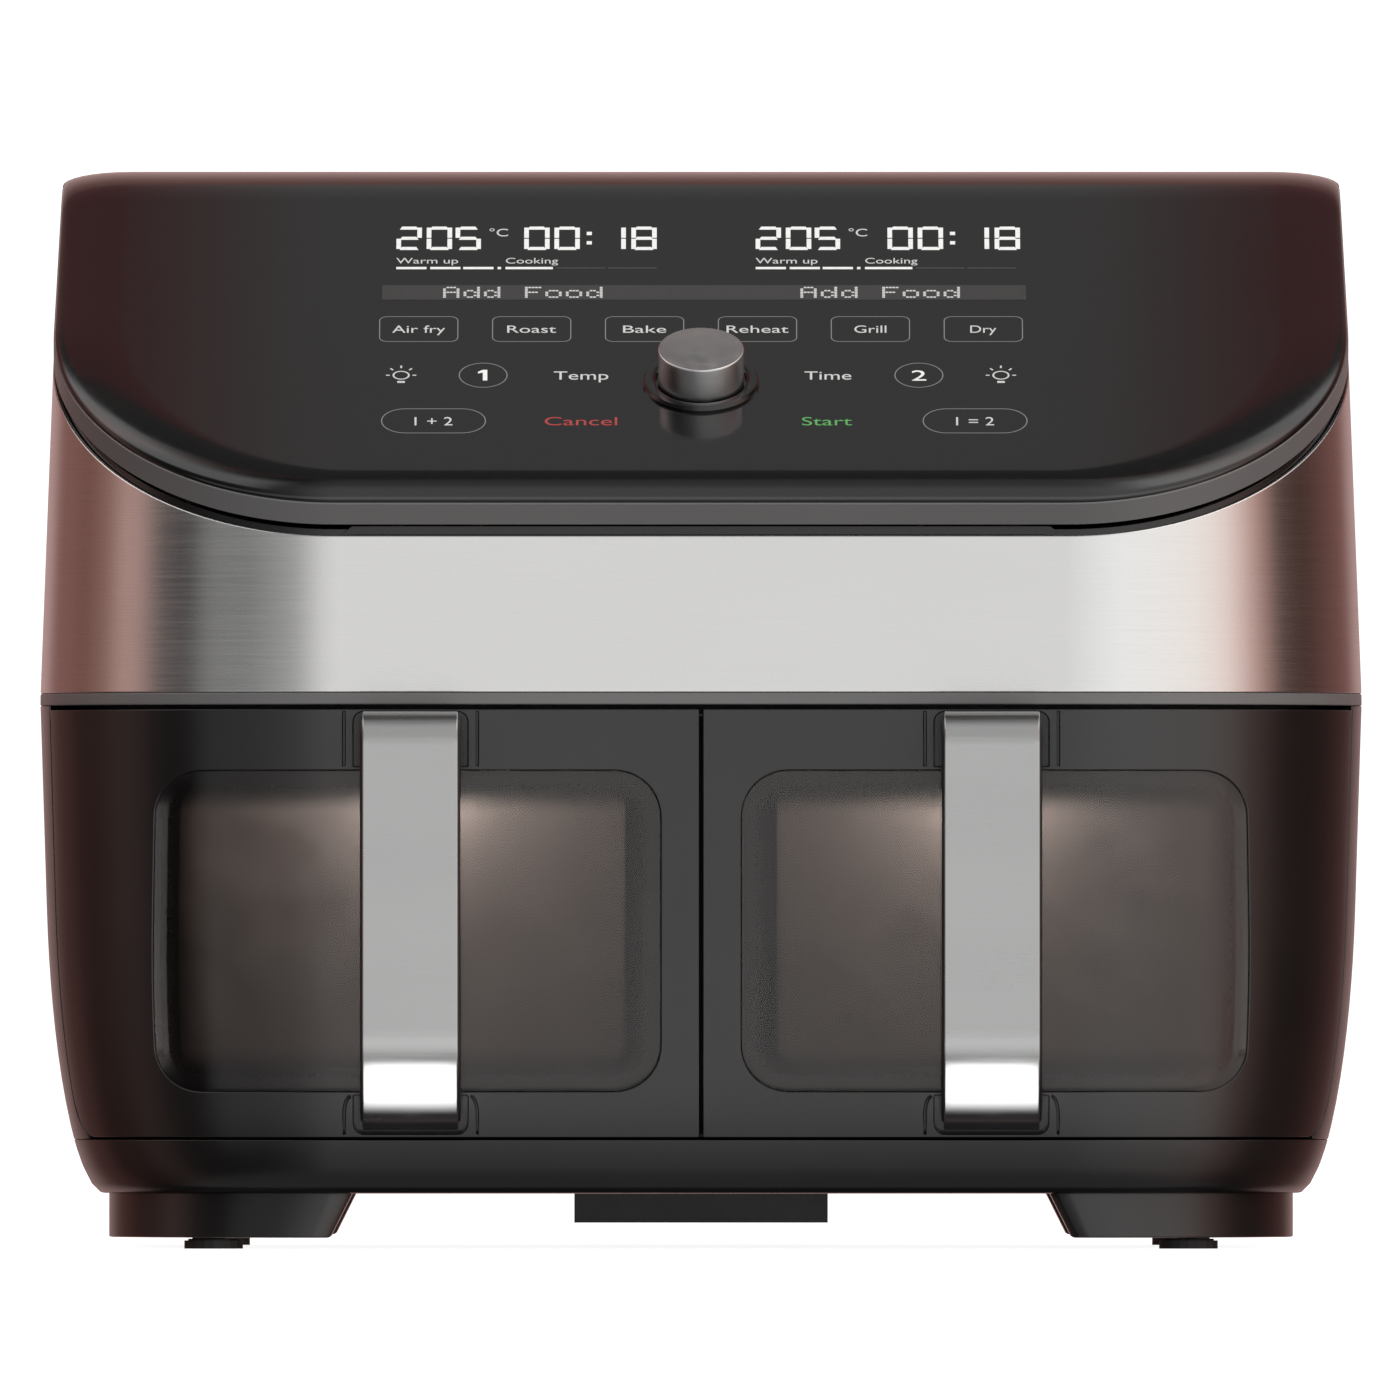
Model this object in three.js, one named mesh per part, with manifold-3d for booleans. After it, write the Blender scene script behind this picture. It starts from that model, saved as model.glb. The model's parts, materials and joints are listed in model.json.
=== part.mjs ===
// A two-drawer air fryer as an assembly of its separate parts.
// Millimetres, +Z up. The front faces -Y, left is -X. The origin lies on the worktop,
// under the middle of the whole appliance, handles and rear spacer included.

import * as THREE from 'three';
import { mergeVertices } from 'three/addons/utils/BufferGeometryUtils.js';
import Module from 'manifold-3d';

const wasm = await Module();
wasm.setup();

// ---------------------------------------------------------------- driving dimensions

const GAP = 0.3;                 // kept between pieces that touch
const FAR = 400;                 // beyond every face of the appliance

// Body outline in plan, at the widest level
const HALF_WIDTH = 192;
const FRONT_Y = -172;
const REAR_Y = 188;
const FRONT_RADIUS = 86;
const REAR_RADIUS = 40;

// How far the outline draws in with height
const WIDEST_Z = 159;
const UPPER_DRAFT = 0.0387;
const LOWER_DRAFT = 0.031;
const TUCK_TOP = 98;             // the curved tuck-in runs from here down to the base
const TUCK_HEIGHT = 82;
const TUCK_DEPTH = 14.3;
const BODY_LEVELS = [16, 20, 26, 32, 42, 54, 70, 98, WIDEST_Z, 330];

// Top profile, seen from the side
const PANEL_TILT = 31;           // degrees
const PANEL_EDGE_Z = 220.2;      // panel surface at y = -170
const PANEL_EDGE_Y = -170;
const TOP_Z = 314;
const ROLL_RADIUS = 57;          // from the sloping panel over to the flat top
const ROLL_Y = 1.9;
const PANEL_THICK = 4.2;         // these drops are measured straight down from the profile
const FRAME_TOP_DROP = 4.5;
const FRAME_DROP = 10.6;
const WALL_DROP = 11.8;
const STEEL_DROP = 13.8;

// Heights of the front
const SKIRT_Z = [16, 31.7];
const DRAWER_Z = [32.2, 156.2];
const BEZEL_Z = [157.5, 161];
const WALL = 3;
const DRAWER_WALL = 12;
const DRAWER_EDGE_Y = -106;      // where a drawer front ends on the side of the body
const DRAWER_TOE = 12;           // radius of its lower rear corner
const BAND_REAR_Y = -60;         // where the steel band ends on the side

// Drawers
const WINDOW_X = [11.6, 158.3];
const WINDOW_Z = [45.5, 138.5];
const WINDOW_RADIUS = 13.5;
const TUB_X = [14, 161];
const TUB_Y = [-146, 138];
const TUB_Z = [38, 146];
const TUB_WALL = 1.4;
const TUB_FRONT_RADIUS = 50;
const TUB_RADIUS = 5;
const TRAY_Z = [50, 52];
const TRAY_GAP = 4;              // from the tub's outer face

// Handles
const HANDLE_X = 84;
const STRAP_WIDTH = 27.7;
const GRIP_WIDTH = 29;
const POCKET_HALF = 16.5;
const HANDLE_TOP_Z = 155.4;
const HANDLE_FRONT_Y = -202;

// Feet
const FOOT_X = 141.3;
const FOOT_Y = [-125, 140];
const FOOT_BLOCK_Z = 3.2;
const FOOT_BLOCK_INSET = 20;     // from the outline at the widest level

// Knob, on the sloping panel
const KNOB_Y = -118.9;
const KNOB_RADIUS = 12.5;
const KNOB_HEIGHT = 11.6;
const SHAFT_RADIUS = 3;

// Cord gland in the rear cover, from its inner end
const GLAND = { x: 130, y: 177, z: 90 };

// Cooking chambers
const CHAMBER_X = [5.3, 169.7];
const CHAMBER_Y = [-154, 150];
const CHAMBER_Z = [33, 159.2];
const SHEET = 0.8;               // sheet steel of the chambers
const FAN_X = 87.5;
const FAN_Y = -8;
const CEILING_HOLE = 66;

// ---------------------------------------------------------------- materials

function finish(color, roughness, metalness = 0) {
  return new THREE.MeshStandardMaterial({ color, roughness, metalness });
}

const SATIN_BLACK = finish('#2c2a2a', 0.5);
const GLOSS_BLACK = finish('#1b1a1b', 0.12);
const DARK_GREY = finish('#474646', 0.4);
const BRUSHED_STEEL = finish('#bdbab6', 0.3, 1);
const SHEET_STEEL = finish('#8f8f8e', 0.4, 1);
const RUBBER = finish('#191919', 0.9);
const COATED = finish('#232222', 0.55);
const BOARD_GREEN = finish('#1f4a32', 0.6);
const GLASS = new THREE.MeshStandardMaterial({
  color: '#3a3634', roughness: 0.05, transparent: true, opacity: 0.35,
});
const LAMP_GLASS = finish('#efe6d2', 0.2);

// ---------------------------------------------------------------- solids

function radians(degrees) {
  return degrees * Math.PI / 180;
}

function solidOf(geometry) {
  const bare = geometry.clone();
  bare.deleteAttribute('normal');
  bare.deleteAttribute('uv');
  const merged = mergeVertices(bare, 1e-4);
  const corners = merged.index.array;
  const faces = [];
  for (let i = 0; i < corners.length; i += 3) {
    const [a, b, c] = corners.slice(i, i + 3);
    if (a !== b && b !== c && c !== a) {
      faces.push(a, b, c);
    }
  }
  return new wasm.Manifold(new wasm.Mesh({
    numProp: 3,
    vertProperties: Float32Array.from(merged.attributes.position.array),
    triVerts: Uint32Array.from(faces),
  }));
}

function geometryOf(solid) {
  const mesh = solid.getMesh();
  const geometry = new THREE.BufferGeometry();
  geometry.setAttribute('position', new THREE.BufferAttribute(mesh.vertProperties, 3));
  geometry.setIndex(new THREE.BufferAttribute(mesh.triVerts, 1));
  geometry.computeVertexNormals();
  return geometry;
}

function mirrored(geometry) {
  const copy = geometry.clone();
  copy.scale(-1, 1, 1);
  const corners = copy.index.array;
  for (let i = 0; i < corners.length; i += 3) {
    [corners[i], corners[i + 1]] = [corners[i + 1], corners[i]];
  }
  copy.computeVertexNormals();
  return copy;
}

// A box between two levels on each axis
function block(x, y, z) {
  const geometry = new THREE.BoxGeometry(x[1] - x[0], y[1] - y[0], z[1] - z[0]);
  geometry.translate((x[0] + x[1]) / 2, (y[0] + y[1]) / 2, (z[0] + z[1]) / 2);
  return solidOf(geometry);
}

// The part of a solid between levels
function within(solid, { x = [-FAR, FAR], y = [-FAR, FAR], z = [-FAR, FAR] }) {
  return solid.intersect(block(x, y, z));
}

function extruded(points, depth) {
  const shape = new THREE.Shape(points.map(([u, v]) => new THREE.Vector2(u, v)));
  return new THREE.ExtrudeGeometry(shape, { depth, bevelEnabled: false });
}

// Points (x, y), extruded upwards
function prismZ(points, [low, high]) {
  const geometry = extruded(points, high - low);
  geometry.translate(0, 0, low);
  return solidOf(geometry);
}

// Points (y, z), extruded along X
function prismX(points, [low, high]) {
  const geometry = extruded(points, high - low);
  geometry.translate(0, 0, low);
  const toX = new THREE.Matrix4().makeBasis(
    new THREE.Vector3(0, 1, 0), new THREE.Vector3(0, 0, 1), new THREE.Vector3(1, 0, 0));
  geometry.applyMatrix4(toX);
  return solidOf(geometry);
}

// Points (x, z), extruded along Y
function prismY(points, [low, high]) {
  const geometry = extruded(points, high - low);
  geometry.translate(0, 0, -high);
  const toY = new THREE.Matrix4().makeBasis(
    new THREE.Vector3(1, 0, 0), new THREE.Vector3(0, 0, 1), new THREE.Vector3(0, -1, 0));
  geometry.applyMatrix4(toY);
  return solidOf(geometry);
}

// An upright rod around (x, y)
function rod(radius, [low, high], sides = 16, x = 0, y = 0) {
  const geometry = new THREE.CylinderGeometry(radius, radius, high - low, sides);
  geometry.rotateX(Math.PI / 2);
  geometry.translate(x, y, (low + high) / 2);
  return solidOf(geometry);
}

// A turned part about Z. Profile points are (radius, height), anticlockwise.
function turned(profile, sides = 24) {
  const points = profile.map(([r, z]) => new THREE.Vector2(r, z));
  if (profile[0][0] > 0) {
    points.push(points[0].clone());
  }
  const geometry = new THREE.LatheGeometry(points, sides);
  geometry.rotateX(Math.PI / 2);
  return solidOf(geometry);
}

// A closed outline from its corner arcs, anticlockwise. "from" is the arc's first angle.
function arcs(corners) {
  const points = [];
  for (const { x, y, radius, from, steps } of corners) {
    for (let i = 0; i <= steps; i += 1) {
      const angle = radians(from + 90 * i / steps);
      points.push([x + radius * Math.cos(angle), y + radius * Math.sin(angle)]);
    }
  }
  return points;
}

function roundedRect([left, right], [low, high], radius, steps = 4) {
  return arcs([
    { x: right - radius, y: low + radius, radius, from: -90, steps },
    { x: right - radius, y: high - radius, radius, from: 0, steps },
    { x: left + radius, y: high - radius, radius, from: 90, steps },
    { x: left + radius, y: low + radius, radius, from: 180, steps },
  ]);
}

// ---------------------------------------------------------------- body surface

function bodyInset(z) {
  if (z >= WIDEST_Z) {
    return (z - WIDEST_Z) * UPPER_DRAFT;
  }
  const draft = (WIDEST_Z - z) * LOWER_DRAFT;
  const depth = Math.max(0, TUCK_TOP - z) / TUCK_HEIGHT;
  return draft + TUCK_DEPTH * (1 - Math.sqrt(1 - depth * depth));
}

function outline(inset) {
  const frontX = HALF_WIDTH - FRONT_RADIUS;
  const frontY = FRONT_Y + FRONT_RADIUS;
  const rearX = HALF_WIDTH - REAR_RADIUS;
  const rearY = REAR_Y - REAR_RADIUS;
  const front = { radius: FRONT_RADIUS - inset, steps: 8 };
  const rear = { radius: REAR_RADIUS - inset, steps: 4 };
  return arcs([
    { x: frontX, y: frontY, from: -90, ...front },
    { x: rearX, y: rearY, from: 0, ...rear },
    { x: -rearX, y: rearY, from: 90, ...rear },
    { x: -frontX, y: frontY, from: 180, ...front },
  ]);
}

// A solid through equal rings of points, closed by flat ends
function loft(rings) {
  const count = rings[0].length;
  const faces = [];
  for (let ring = 0; ring < rings.length - 1; ring += 1) {
    for (let i = 0; i < count; i += 1) {
      const a = ring * count + i;
      const b = ring * count + (i + 1) % count;
      faces.push(a, b, b + count, a, b + count, a + count);
    }
  }
  const top = (rings.length - 1) * count;
  for (let i = 1; i < count - 1; i += 1) {
    faces.push(0, i + 1, i);
    faces.push(top, top + i, top + i + 1);
  }
  const geometry = new THREE.BufferGeometry();
  geometry.setAttribute('position', new THREE.Float32BufferAttribute(rings.flat(2), 3));
  geometry.setIndex(faces);
  return solidOf(geometry);
}

// Everything inside the body surface, moved in by "inset"
function envelope(inset) {
  return loft(BODY_LEVELS.map((z) => outline(bodyInset(z) + inset).map(([x, y]) => [x, y, z])));
}

// The wall between two depths under the body surface
function shell(outer, inner) {
  return envelope(outer).subtract(envelope(inner));
}

function panelHeight(y) {
  return PANEL_EDGE_Z + (y - PANEL_EDGE_Y) * Math.tan(radians(PANEL_TILT));
}

// Everything below the top profile, lowered by "drop"
function underTop(drop) {
  const points = [[-FAR, -FAR], [FAR, -FAR], [FAR, TOP_Z - drop]];
  const steps = 4;
  for (let i = 0; i <= steps; i += 1) {
    const angle = radians(PANEL_TILT * i / steps);
    const y = ROLL_Y - ROLL_RADIUS * Math.sin(angle);
    points.push([y, TOP_Z - ROLL_RADIUS * (1 - Math.cos(angle)) - drop]);
  }
  points.push([-FAR, panelHeight(-FAR) - drop]);
  return prismX(points, [-FAR, FAR]);
}

// The soft fall of the top towards both sides
function underShoulders() {
  const half = [[166, TOP_Z + 6], [166, TOP_Z], [178, TOP_Z - 1.5], [187, TOP_Z - 4.4]];
  const right = [...half, [FAR, TOP_Z - 70]].reverse();
  const left = [...half, [FAR, TOP_Z - 70]].map(([x, z]) => [-x, z]);
  return prismY([[-FAR, -FAR], [FAR, -FAR], ...right, ...left], [-FAR, FAR]);
}

// ---------------------------------------------------------------- the scene

const airFryer = new THREE.Group();

function add(name, shape, material, parent = airFryer) {
  const geometry = shape.isBufferGeometry ? shape : geometryOf(shape);
  const mesh = new THREE.Mesh(geometry, material);
  mesh.name = name;
  parent.add(mesh);
  return mesh;
}

// The same part on both sides, mirrored: it is drawn for the right-hand one
function addPair(name, solid, material) {
  const geometry = geometryOf(solid);
  add(`${name}_right`, geometry, material);
  add(`${name}_left`, mirrored(geometry), material);
}

// ---------------------------------------------------------------- base and feet

function footBlock(yRange) {
  const trapezoid = [[107.5, FOOT_BLOCK_Z], [HALF_WIDTH, FOOT_BLOCK_Z], [HALF_WIDTH, 17], [98.2, 17]];
  const under = prismZ(outline(FOOT_BLOCK_INSET), [0, 20]);
  const right = prismY(trapezoid, yRange).intersect(under);
  const left = solidOf(mirrored(geometryOf(right)));
  return right.add(left);
}

function basePan() {
  const skin = within(envelope(0), { z: SKIRT_Z });
  const hollow = within(envelope(WALL), { z: [19, FAR] });
  let pan = skin.subtract(hollow);
  pan = pan.add(footBlock([-151, -80])).add(footBlock([95, 167]));
  for (const x of [60, 122]) {
    for (const side of [-1, 1]) {
      pan = pan.add(block([side * x - 1.5, side * x + 1.5], [-130, 140], [18, 32.6]));
    }
  }
  for (const y of FOOT_Y) {
    for (const side of [-1, 1]) {
      pan = pan.subtract(rod(SHAFT_RADIUS + GAP, [0, 9.5], 10, side * FOOT_X, y));
    }
  }
  return pan;
}

function rubberFoot() {
  const top = FOOT_BLOCK_Z - GAP;
  return turned([[0, 0], [8.5, 0], [8.5, 2.4], [7.4, 2.4], [7.4, top], [SHAFT_RADIUS, top],
    [SHAFT_RADIUS, 9], [0, 9]], 20);
}

function addBase() {
  add('base_pan', basePan(), SATIN_BLACK);
  const foot = geometryOf(rubberFoot());
  for (const [depth, y] of [['front', FOOT_Y[0]], ['rear', FOOT_Y[1]]]) {
    for (const [side, x] of [['left', -FOOT_X], ['right', FOOT_X]]) {
      add(`rubber_foot_${depth}_${side}`, foot, RUBBER).position.set(x, y, 0);
    }
  }
}

// ---------------------------------------------------------------- outer covers

// Side wall: it fills the drawer's rounded toe and steps back above the bezel
function sidePanel() {
  const toe = DRAWER_TOE + 0.4;
  const toeY = DRAWER_EDGE_Y - DRAWER_TOE;
  const toeZ = DRAWER_Z[0] + DRAWER_TOE;
  const profile = [[150, 32]];
  const first = Math.asin((toeZ - 32) / toe);
  for (let i = 0; i <= 4; i += 1) {
    const angle = first * (1 - i / 4);
    profile.push([toeY + toe * Math.cos(angle), toeZ - toe * Math.sin(angle)]);
  }
  const bandY = BAND_REAR_Y + GAP;
  profile.push([DRAWER_EDGE_Y + 0.4, 156.9], [bandY, 156.9], [bandY, FAR], [150, FAR]);
  profile.reverse();
  const skin = shell(0, WALL).intersect(prismX(profile, [100, FAR]));
  const flange = within(shell(WALL - 1, 11), { x: [0, FAR], y: [-105.6, -102.6], z: [44, 156.5] });
  return skin.add(flange).intersect(underTop(WALL_DROP));
}

function rearCover() {
  let cover = within(shell(0, WALL), { y: [150 + GAP, FAR], z: [32, FAR] });
  cover = cover.intersect(underTop(WALL_DROP));
  for (const x of [38, 84]) {
    for (const side of [-1, 1]) {
      for (let row = 0; row < 5; row += 1) {
        const z = 214 + row * 12;
        cover = cover.subtract(block([side * x - 18, side * x + 18], [160, FAR], [z, z + 5]));
      }
    }
  }
  const hole = new THREE.CylinderGeometry(7, 7, 60, 16);
  hole.translate(GLAND.x, REAR_Y, GLAND.z);
  return cover.subtract(solidOf(hole));
}

// The bracket that keeps the appliance off the wall; it hooks under the base
function rearSpacer() {
  const top = 110;
  const bottom = 6.4;
  const centre = block([-22.9, 22.9], [173, 198.5], [bottom, top]);
  const posts = block([-32.3, 32.3], [173, 202], [bottom, top])
    .subtract(block([-22.9, 22.9], [150, 210], [0, 120]));
  const flanges = block([-37.4, 37.4], [173, 194], [bottom, top]);
  const clear = envelope(-0.4).add(block([-FAR, FAR], [100, 169], [SKIRT_Z[0] - GAP, 60]));
  return centre.add(posts).add(flanges).subtract(clear)
    .subtract(block([-FAR, FAR], [150, 176], [SKIRT_Z[0] - GAP, 18]));
}

function cordGland() {
  const gland = turned([[3.6, 0], [6.5, 0], [6.5, 9.5], [10, 9.5], [9, 13], [3.6, 13]], 16);
  const geometry = geometryOf(gland);
  geometry.rotateX(-Math.PI / 2);
  return geometry;
}

function topCover() {
  const slice = panelSlice([0, FRAME_DROP], { y: [ROLL_Y + 0.4, FAR] });
  const hollow = within(envelope(WALL), { y: [ROLL_Y + 3.4, FAR], z: [0, TOP_Z - 6] });
  return slice.intersect(underShoulders()).subtract(hollow);
}

function addCovers() {
  addPair('side_panel', sidePanel(), SATIN_BLACK);
  add('rear_cover', rearCover(), SATIN_BLACK);
  add('rear_spacer', rearSpacer(), SATIN_BLACK);
  add('cord_gland', cordGland(), RUBBER).position.set(GLAND.x, GLAND.y, GLAND.z);
  add('top_cover', topCover(), SATIN_BLACK);
}

// ---------------------------------------------------------------- front: steel and panel

function panelSlice(drops, xyz) {
  const slice = underTop(drops[0]).subtract(underTop(drops[1]));
  return within(envelope(0).intersect(slice), xyz);
}

const panelGroup = new THREE.Group();
panelGroup.position.set(0, KNOB_Y, panelHeight(KNOB_Y));
panelGroup.rotation.x = radians(PANEL_TILT);
panelGroup.updateMatrix();

function controlPanel() {
  const slab = panelSlice([0, PANEL_THICK], { y: [-FAR, ROLL_Y] }).intersect(underShoulders());
  const bore = geometryOf(rod(4.5, [-20, 20], 16));
  bore.applyMatrix4(panelGroup.matrix);
  return slab.subtract(solidOf(bore));
}

function panelFrame() {
  const slice = panelSlice([FRAME_TOP_DROP, FRAME_DROP], { y: [-FAR, ROLL_Y] });
  return slice.intersect(underShoulders()).subtract(block([-150, 150], [-150, -22], [0, FAR]));
}

function frontHousing() {
  const wall = within(shell(1 + GAP, 4.3), { y: [-FAR, BAND_REAR_Y], z: [BEZEL_Z[1] + GAP, FAR] });
  return wall.intersect(underTop(WALL_DROP));
}

function steelBand() {
  const wall = within(shell(0, 1), { y: [-FAR, BAND_REAR_Y], z: [BEZEL_Z[1] + GAP, FAR] });
  return wall.intersect(underTop(STEEL_DROP));
}

function frontFrame() {
  let frame = within(shell(14, 17), { y: [-FAR, -101.8], z: [32.3, 156.4] });
  for (const x of [[7, 165.5], [-165.5, -7]]) {
    frame = frame.subtract(block(x, [-FAR, -80], [35, 150]));
  }
  return frame;
}

function addFront() {
  add('control_panel', controlPanel(), GLOSS_BLACK);
  add('panel_frame', panelFrame(), SATIN_BLACK);
  add('front_housing', frontHousing(), SATIN_BLACK);
  add('steel_band', steelBand(), BRUSHED_STEEL);
  add('bezel', within(shell(0, 10), { y: [-FAR, BAND_REAR_Y], z: BEZEL_Z }), DARK_GREY);
  add('front_frame', frontFrame(), SATIN_BLACK);
}

// ---------------------------------------------------------------- controls

// Drawn with the panel surface as z = 0 and the knob's axis as the Z axis
function knob() {
  const bore = SHAFT_RADIUS + GAP;
  const skirt = [[KNOB_RADIUS - 0.6, 0.8], [KNOB_RADIUS, 1.6]];
  const rim = [[KNOB_RADIUS, KNOB_HEIGHT - 0.8], [KNOB_RADIUS - 0.8, KNOB_HEIGHT]];
  return turned([[0, 8], [bore, 8], [bore, 0.8], ...skirt, ...rim, [0, KNOB_HEIGHT]], 28);
}

function knobCollar() {
  return turned([[13.3, GAP], [16.7, GAP], [16.7, 0.9], [16, 1.6], [14, 1.6], [13.3, 0.9]], 32);
}

function addControls() {
  const encoder = block([-7, 7], [-7, 7], [-7.1, -3.9]).subtract(rod(SHAFT_RADIUS + GAP, [-9, 0]));
  add('knob', knob(), BRUSHED_STEEL, panelGroup);
  add('knob_shaft', rod(SHAFT_RADIUS, [-6.8, 7.7], 12), SHEET_STEEL, panelGroup);
  add('knob_collar', knobCollar(), GLOSS_BLACK, panelGroup);
  add('encoder', encoder, SHEET_STEEL, panelGroup);
  add('display_board', block([-140, 140], [-28, 100], [-9, -7.4]), BOARD_GREEN, panelGroup);
  add('display_module', block([-96, 96], [44, 92], [-7.1, -4]), GLOSS_BLACK, panelGroup);
  add('main_board', block([-70, 70], [82, 142], [202, 203.6]), BOARD_GREEN);
  airFryer.add(panelGroup);
}

// ---------------------------------------------------------------- cooking chambers

function chamber() {
  const outside = block(CHAMBER_X, CHAMBER_Y, CHAMBER_Z);
  const inside = block([CHAMBER_X[0] + SHEET, CHAMBER_X[1] - SHEET], [-FAR, CHAMBER_Y[1] - SHEET],
    [CHAMBER_Z[0] + SHEET, CHAMBER_Z[1] - SHEET]);
  const railZ = [TUB_Z[1] - 4.1, TUB_Z[1] - 2.1];
  let liner = outside.subtract(inside);
  liner = liner.add(block([CHAMBER_X[0] + 0.6, TUB_X[0] - 1.4], [-140, 140], railZ));
  liner = liner.add(block([TUB_X[1] + 1.4, CHAMBER_X[1] - 0.6], [-140, 140], railZ));
  const mouth = envelope(17.4).add(block([-FAR, FAR], [-101.5, FAR], [-FAR, FAR]));
  return liner.intersect(mouth).subtract(rod(CEILING_HOLE, [150, 170], 24, FAN_X, FAN_Y));
}

function airCowl() {
  return turned([[4, 195.8], [59.4, 195.8], [69, 189.4], [71, 159.6], [80, 159.6], [80, 160.8],
    [72, 160.8], [70, 190], [60, 197], [4, 197]], 24);
}

// A flat coil of heater tube
class HeaterCoil extends THREE.Curve {
  getPoint(t, target = new THREE.Vector3()) {
    const turns = 2;
    const angle = turns * 2 * Math.PI * t;
    const radius = 38 + 22 * t;
    return target.set(radius * Math.cos(angle), radius * Math.sin(angle), 0);
  }
}

function heatingElement() {
  const section = new THREE.Shape();
  section.absarc(0, 0, 3.2, 0, 2 * Math.PI);
  const geometry = new THREE.ExtrudeGeometry(section, {
    steps: 34, curveSegments: 3, bevelEnabled: false, extrudePath: new HeaterCoil(),
  });
  return solidOf(geometry);
}

// A pressed guard with two rings of openings
function elementGuard() {
  let guard = rod(CEILING_HOLE - 0.5, [0, 1], 24);
  for (const { inner, outer, count, steps } of [{ inner: 12, outer: 34, count: 4, steps: 3 },
    { inner: 38, outer: 61, count: 8, steps: 2 }]) {
    for (let i = 0; i < count; i += 1) {
      const rim = [];
      for (let j = 0; j <= steps; j += 1) {
        rim.push(2 * Math.PI * (i + 0.08 + 0.84 * j / steps) / count);
      }
      const arc = (radius) => rim.map((angle) => [radius * Math.cos(angle), radius * Math.sin(angle)]);
      guard = guard.subtract(prismZ([...arc(outer), ...arc(inner).reverse()], [-1, 2]));
    }
  }
  return guard;
}

function motor() {
  const bore = SHAFT_RADIUS + 0.6;
  return turned([[bore, 197.3], [30, 197.3], [30, 201], [24, 201], [24, 238], [bore, 238]], 20);
}

// A hub and disc with straight blades, bored for the shaft
function fanWheel({ radius, blades, low, high }) {
  let wheel = rod(7, [low, high], 12).add(rod(radius * 0.7, [low, low + 1.2], 20));
  for (let i = 0; i < blades; i += 1) {
    const blade = new THREE.BoxGeometry(radius - 9, 1.4, high - low - 1);
    blade.rotateZ(radians(18));
    blade.translate((radius + 9) / 2 - 1, 0, (low + high + 1) / 2 - 0.2);
    blade.rotateZ(2 * Math.PI * i / blades);
    wheel = wheel.add(solidOf(blade));
  }
  return wheel.subtract(rod(SHAFT_RADIUS + GAP, [low - 5, high + 5], 12));
}

function addChambers() {
  addPair('chamber', chamber(), SHEET_STEEL);
  const inPlace = [
    ['air_cowl', airCowl(), SHEET_STEEL, 0],
    ['heating_element', heatingElement(), SHEET_STEEL, 169],
    ['element_guard', elementGuard(), SHEET_STEEL, 158.1],
    ['motor', motor(), SHEET_STEEL, 0],
    ['hot_fan', fanWheel({ radius: 50, blades: 8, low: 178, high: 191 }), SHEET_STEEL, 0],
    ['fan_shaft', rod(SHAFT_RADIUS, [176, 262], 12), SHEET_STEEL, 0],
    ['cooling_fan', fanWheel({ radius: 36, blades: 7, low: 246, high: 258 }), SATIN_BLACK, 0],
  ];
  for (const [name, solid, material, z] of inPlace) {
    const geometry = geometryOf(solid);
    add(`${name}_right`, geometry, material).position.set(FAN_X, FAN_Y, z);
    add(`${name}_left`, geometry, material).position.set(-FAN_X, FAN_Y, z);
  }
  addPair('chamber_lamp', rod(11, [153, 157.7], 16, 30, -95), LAMP_GLASS);
  addPair('drawer_switch', block([40, 60], [-140, -128], [162, 172]), SATIN_BLACK);
}

// ---------------------------------------------------------------- drawers

function windowPrism(inset, yRange = [-FAR, -110]) {
  const x = [WINDOW_X[0] + inset, WINDOW_X[1] - inset];
  const z = [WINDOW_Z[0] + inset, WINDOW_Z[1] - inset];
  return prismY(roundedRect(x, z, WINDOW_RADIUS - inset), yRange);
}

function drawerFront() {
  const toeY = DRAWER_EDGE_Y - DRAWER_TOE;
  const toeZ = DRAWER_Z[0] + DRAWER_TOE;
  const side = [[-FAR, DRAWER_Z[0]]];
  for (let i = 0; i <= 4; i += 1) {
    const angle = radians(90 * i / 4);
    side.push([toeY + DRAWER_TOE * Math.sin(angle), toeZ - DRAWER_TOE * Math.cos(angle)]);
  }
  side.push([DRAWER_EDGE_Y, DRAWER_Z[1]], [-FAR, DRAWER_Z[1]]);
  const front = shell(0, DRAWER_WALL).intersect(prismX(side, [0.6, FAR]));
  const shelf = block([30, 110], [-156, -112], [35.4, TUB_Z[0] - 0.4]);
  const pocketX = [HANDLE_X - POCKET_HALF, HANDLE_X + POCKET_HALF];
  return front.add(shelf)
    .subtract(windowPrism(0))
    .subtract(block(pocketX, [-FAR, -168.4], [138.8, FAR]))
    .subtract(block(pocketX, [-FAR, -160.5], [0, 45.4]));
}

function tubOutline(inset) {
  const big = TUB_FRONT_RADIUS;
  const small = { radius: TUB_RADIUS - inset, steps: 2 };
  return arcs([
    { x: TUB_X[1] - big, y: TUB_Y[0] + big, radius: big - inset, from: -90, steps: 8 },
    { x: TUB_X[1] - TUB_RADIUS, y: TUB_Y[1] - TUB_RADIUS, from: 0, ...small },
    { x: TUB_X[0] + TUB_RADIUS, y: TUB_Y[1] - TUB_RADIUS, from: 90, ...small },
    { x: TUB_X[0] + TUB_RADIUS, y: TUB_Y[0] + TUB_RADIUS, from: 180, ...small },
  ]);
}

function basket() {
  const walls = prismZ(tubOutline(0), TUB_Z);
  const flange = prismZ(tubOutline(-3), [TUB_Z[1] - 1.8, TUB_Z[1]]);
  const inside = prismZ(tubOutline(TUB_WALL), [TUB_Z[0] + 2, FAR]);
  const view = prismY(roundedRect([22, 154], [52, 137], 8), [-FAR, -100]);
  return walls.add(flange).subtract(inside).subtract(view);
}

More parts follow.
